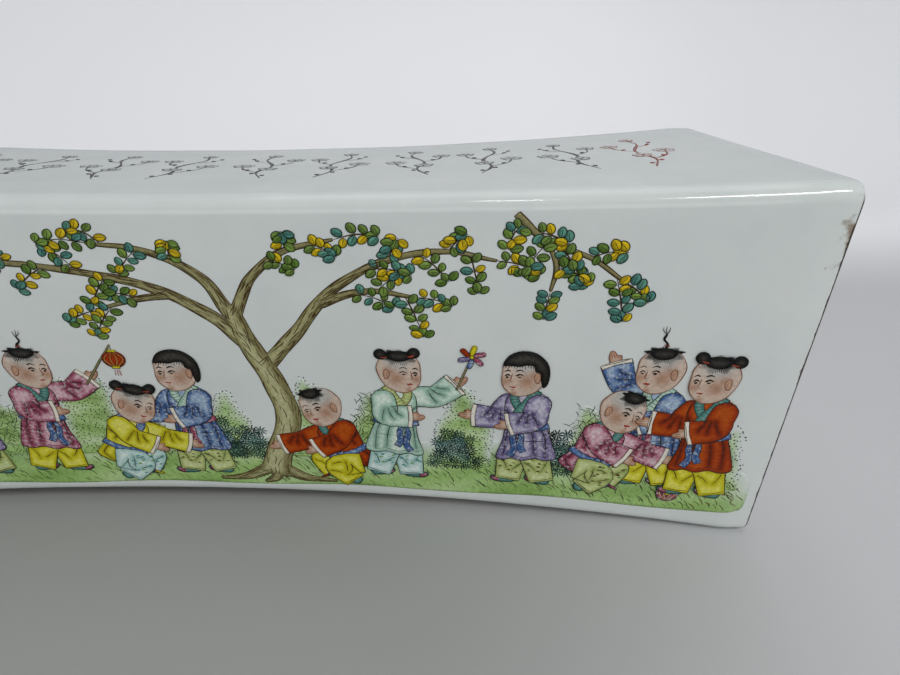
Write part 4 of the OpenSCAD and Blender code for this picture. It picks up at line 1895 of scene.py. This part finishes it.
@dataclass
class Garden:
    """The painted front: a grassy garden with trees, shrubs and children at play."""

    form: HollowForm
    ground: float = 12.0

    def children(self) -> list[tuple[Child, Toy, str]]:
        """Children in the order that they are painted.

        Returns:
            Each child, with a toy and the hand that has it.
        """
        p, h, nothing = Pigment, Hair, (Toy.NONE, "near")
        rows = (
            (-206, 0, p.MINT, p.YELLOW, p.ROSE, h.SPROUT, 1, Pose.RESTING, (Toy.LOTUS, "near")),
            (-150, -2, p.ROSE, p.AQUA, p.TEAL, h.BOWL, -1, Pose.POINTING, nothing),
            (-118, 0, p.IRON_RED, p.LIME, p.TEAL, h.FORELOCK, 1, Pose.RUNNING, (Toy.KITE, "far")),
            (-84, -2, p.YELLOW, p.AQUA, p.BLUE, h.TWIN_KNOTS, 1, Pose.RESTING, (Toy.DRUM, "near")),
            (-46, -1, p.PURPLE, p.LIME, p.MINT, h.BOWL, -1, Pose.HOLDING, (Toy.BANNER, "far")),
            (-20, 0, p.ROSE, p.YELLOW, p.TEAL, h.SPROUT, 1, Pose.HOLDING, (Toy.LANTERN, "far")),
            (33, -1, p.BLUE, p.LIME, p.MINT, h.BOWL, -1, Pose.RESTING, nothing),
            (3, -4, p.YELLOW, p.AQUA, p.BLUE, h.TWIN_KNOTS, 1, Pose.CROUCHING, nothing),
            (87, -4, p.IRON_RED, p.YELLOW, p.TEAL, h.FORELOCK, -1, Pose.CROUCHING, nothing),
            (101, 1, p.MINT, p.AQUA, p.LIME, h.TWIN_KNOTS, 1, Pose.HOLDING, (Toy.PINWHEEL, "far")),
            (146, 2, p.PURPLE, p.LIME, p.TEAL, h.BOWL, -1, Pose.RESTING, nothing),
            (187, 6, p.BLUE, p.YELLOW, p.MINT, h.SPROUT, -1, Pose.WAVING, nothing),
            (165, 1, p.ROSE, p.LIME, p.TEAL, h.FORELOCK, 1, Pose.CROUCHING, (Toy.BALL, "far")),
            (203, 4, p.IRON_RED, p.YELLOW, p.TEAL, h.TWIN_KNOTS, -1, Pose.RESTING, nothing),
        )
        return [(Child(x, self.ground + up, *dress, **pose.value), *play)
                for x, up, *dress, pose, play in rows]

    def trees(self) -> list[Tree]:
        """Trees that reach up to the rolled edge.

        Returns:
            The trees, with their limbs before their trunks.
        """
        elder = [
            [(60, 60, 2.6), (72, 75, 2.1), (83, 90, 1.5), (99, 101, 1.0), (117, 105, 0.7), (133, 102, 0.3)],
            [(80, 86, 1.5), (94, 91, 0.9), (110, 89, 0.3)],
            [(57, 68, 2.8), (46, 81, 2.1), (29, 92, 1.5), (7, 98, 1.0), (-16, 101, 0.7), (-36, 99, 0.3)],
            [(34, 89, 1.4), (23, 87, 0.8), (11, 83, 0.3)],
            [(52, 82, 2.2), (45, 96, 1.5), (31, 105, 0.9), (14, 108, 0.3)],
            [(53, 80, 2.0), (60, 95, 1.4), (71, 105, 0.9), (86, 109, 0.3)],
            [(55, 14, 2.6), (47, 9.4, 1.6), (37, 8.2, 0.3)],
            [(60, 14, 2.6), (68, 9.6, 1.7), (79, 8.4, 0.3)],
            [(58, 14, 2.6), (57, 9.2, 1.8), (53, 6.8, 0.4)],
            [(57, 11, 5.4), (60, 22, 4.4), (65, 38, 4.1), (62, 54, 3.7), (56, 70, 3.2), (52, 85, 2.2)]]
        spray = [
            [(138, 116.5, 0.9), (147, 108, 0.7), (159, 103, 0.5), (170, 95, 0.3)],
            [(147, 108, 0.6), (150, 100, 0.5), (149, 92, 0.3)]]
        younger = [
            [(-184, 58, 1.9), (-168, 78, 1.4), (-148, 94, 0.9), (-128, 100, 0.3)],
            [(-182, 78, 1.6), (-194, 92, 1.1), (-210, 102, 0.3)],
            [(-180, 90, 1.4), (-172, 103, 0.9), (-156, 109, 0.3)],
            [(-181, 13, 2.0), (-190, 9.4, 1.2), (-198, 8.4, 0.3)],
            [(-177, 13, 2.0), (-169, 9.4, 1.2), (-161, 8.4, 0.3)],
            [(-179, 10, 4.0), (-181, 24, 3.2), (-186, 42, 2.9), (-183, 60, 2.6), (-182, 78, 2.0),
             (-179, 94, 1.3), (-184, 109, 0.4)]]
        return [Tree("garden_tree", self.form, elder), Tree("hanging_spray", self.form, spray, seed=8),
                Tree("young_tree", self.form, younger, seed=21)]

    def build(self) -> None:
        """Build and hand in the whole picture, and the sprigs on the seat."""
        pieces = GrassBank(self.form).build()
        pieces += Shrubs(
            self.form, 20.0,
            stippled=[(-188, 18, 33), (-132, 19, 31), (-64, 19, 34), (-3, 22, 35), (44, 15, 27),
                      (74, 17, 33), (125, 19, 32), (209, 14, 24)],
            hatched=[(-100, 19, 27), (-33, 16, 26), (14, 15, 24), (94, 16, 28), (168, 19, 28)],
            needles=[(-168, 16, 18), (-58, 15, 17), (38, 17, 19), (50, 12, 14), (78, 12, 17),
                     (121, 16, 16), (155, 14, 18)]).build()
        for tree in self.trees():
            pieces += tree.build()
        for number, (child, toy, hand) in enumerate(self.children(), 1):
            # Neighbours lie on different levels, so that they can overlap
            canvas = Canvas(f"child_{number}", self.form, level=0.15 + 0.15 * (number % 3))
            Toys(canvas, child.draw(canvas)[hand], child.facing, child.ground).draw(toy)
            pieces.append(canvas.build())
        pieces.append(SeatSprigs(Canvas("seat_sprigs", self.form, Face.SEAT)).build())
        for piece in pieces:
            hand_in(piece)


@dataclass(frozen=True)
class SoftBox:
    """Lamp that looks at the pillow: its place and its two sides in metres, and its watts."""

    name: str
    place: Triple
    sides: Pair
    watts: float
    aim: Triple = (0.1, 0.0, 0.06)

    def hang(self) -> None:
        """Put the lamp into the scene."""
        data = bpy.data.lights.new(self.name, "AREA")
        data.shape = "RECTANGLE"
        data.size, data.size_y = self.sides
        data.energy = self.watts
        lamp = bpy.data.objects.new(self.name, data)
        lamp.location = self.place
        lamp.rotation_euler = (Vector(self.aim) - lamp.location).to_track_quat("-Z", "Y").to_euler()
        bpy.context.scene.collection.objects.link(lamp)


@dataclass
class Studio:
    """Paper sweep, soft lamps and the camera, whose angles are in degrees."""

    eye: Triple = (117.83, -195.39, 150.39)
    yaw: float = 0.807
    pitch: float = 27.759
    roll: float = 0.417
    focal_pixels: float = 538.4
    image_width: int = 900
    sweep_front: float = -2200.0
    sweep_flat: float = 440.0
    sweep_radius: float = 240.0
    sweep_height: float = 2200.0
    sweep_half_width: float = 3000.0
    sweep_steps: int = 18
    sky: Colour = (0.9, 0.95, 1.0, 1.0)
    sky_strength: float = 0.33
    lamps: tuple[SoftBox, ...] = (
        SoftBox("overhead_box", (0.13, 0.2, 1.4), (1.2, 0.9), 3.3),
        SoftBox("front_box", (-0.3, -1.9, 0.42), (2.2, 0.7), 6.3),
        SoftBox("long_tube", (0.69, -0.76, 1.1), (0.8, 0.12), 6.1),
        SoftBox("short_tube", (0.065, -0.71, 1.1), (0.12, 0.08), 0.5),
    )

    def camera(self) -> None:
        """Place the camera at the photograph's viewpoint."""
        data = bpy.data.cameras.new("camera")
        data.sensor_width = 36.0
        data.lens = self.focal_pixels / self.image_width * data.sensor_width
        data.clip_start = 0.01
        yaw, pitch, roll = (math.radians(a) for a in (self.yaw, self.pitch, self.roll))
        ahead = Vector((math.sin(yaw) * math.cos(pitch), math.cos(yaw) * math.cos(pitch), -math.sin(pitch)))
        right = ahead.cross(Vector((0, 0, 1))).normalized()
        up = right.cross(ahead)
        right, up = right * math.cos(roll) + up * math.sin(roll), up * math.cos(roll) - right * math.sin(roll)
        turn = Matrix((right, up, -ahead)).transposed().to_4x4()
        camera = bpy.data.objects.new("camera", data)
        camera.matrix_world = Matrix.Translation(Vector(self.eye) * MM) @ turn
        bpy.context.scene.collection.objects.link(camera)
        bpy.context.scene.camera = camera

    def sweep(self) -> None:
        """Lay the paper: flat under the pillow, then curving up behind it."""
        radius = self.sweep_radius
        profile = [(self.sweep_front, 0.0), (self.sweep_flat, 0.0)]
        for i in range(1, self.sweep_steps + 1):
            turn = math.radians(90 * i / self.sweep_steps)
            profile.append((self.sweep_flat + radius * math.sin(turn), radius - radius * math.cos(turn)))
        profile.append((self.sweep_flat + radius, self.sweep_height))
        points = [(x, y, z) for y, z in profile for x in (-self.sweep_half_width, self.sweep_half_width)]
        faces = [(2 * i, 2 * i + 1, 2 * i + 3, 2 * i + 2) for i in range(len(profile) - 1)]
        floor = mesh_object("floor", np.array(points), faces)
        floor.data.materials.append(FloorFinish().material())

    def build(self) -> None:
        """Set up the sweep, the lamps, the world and the view."""
        self.sweep()
        for lamp in self.lamps:
            lamp.hang()
        world = bpy.data.worlds.new("studio")
        world.use_nodes = True
        background = world.node_tree.nodes["Background"]
        background.inputs["Color"].default_value = self.sky
        background.inputs["Strength"].default_value = self.sky_strength
        bpy.context.scene.world = world
        bpy.context.scene.view_settings.view_transform = "Standard"
        self.camera()


def main() -> None:
    """Build the pieces in order."""
    logging.basicConfig(level=logging.INFO, format="%(message)s")
    form = HollowForm.of_frame()
    clay = BareClayFinish().material()
    for node in frame["nodes"].values():
        for slot in node.material_slots:
            slot.material = clay
    hand_in(GlazeCoat(form).build())
    Garden(form).build()
    Studio().build()


if __name__ == "__main__":
    main()
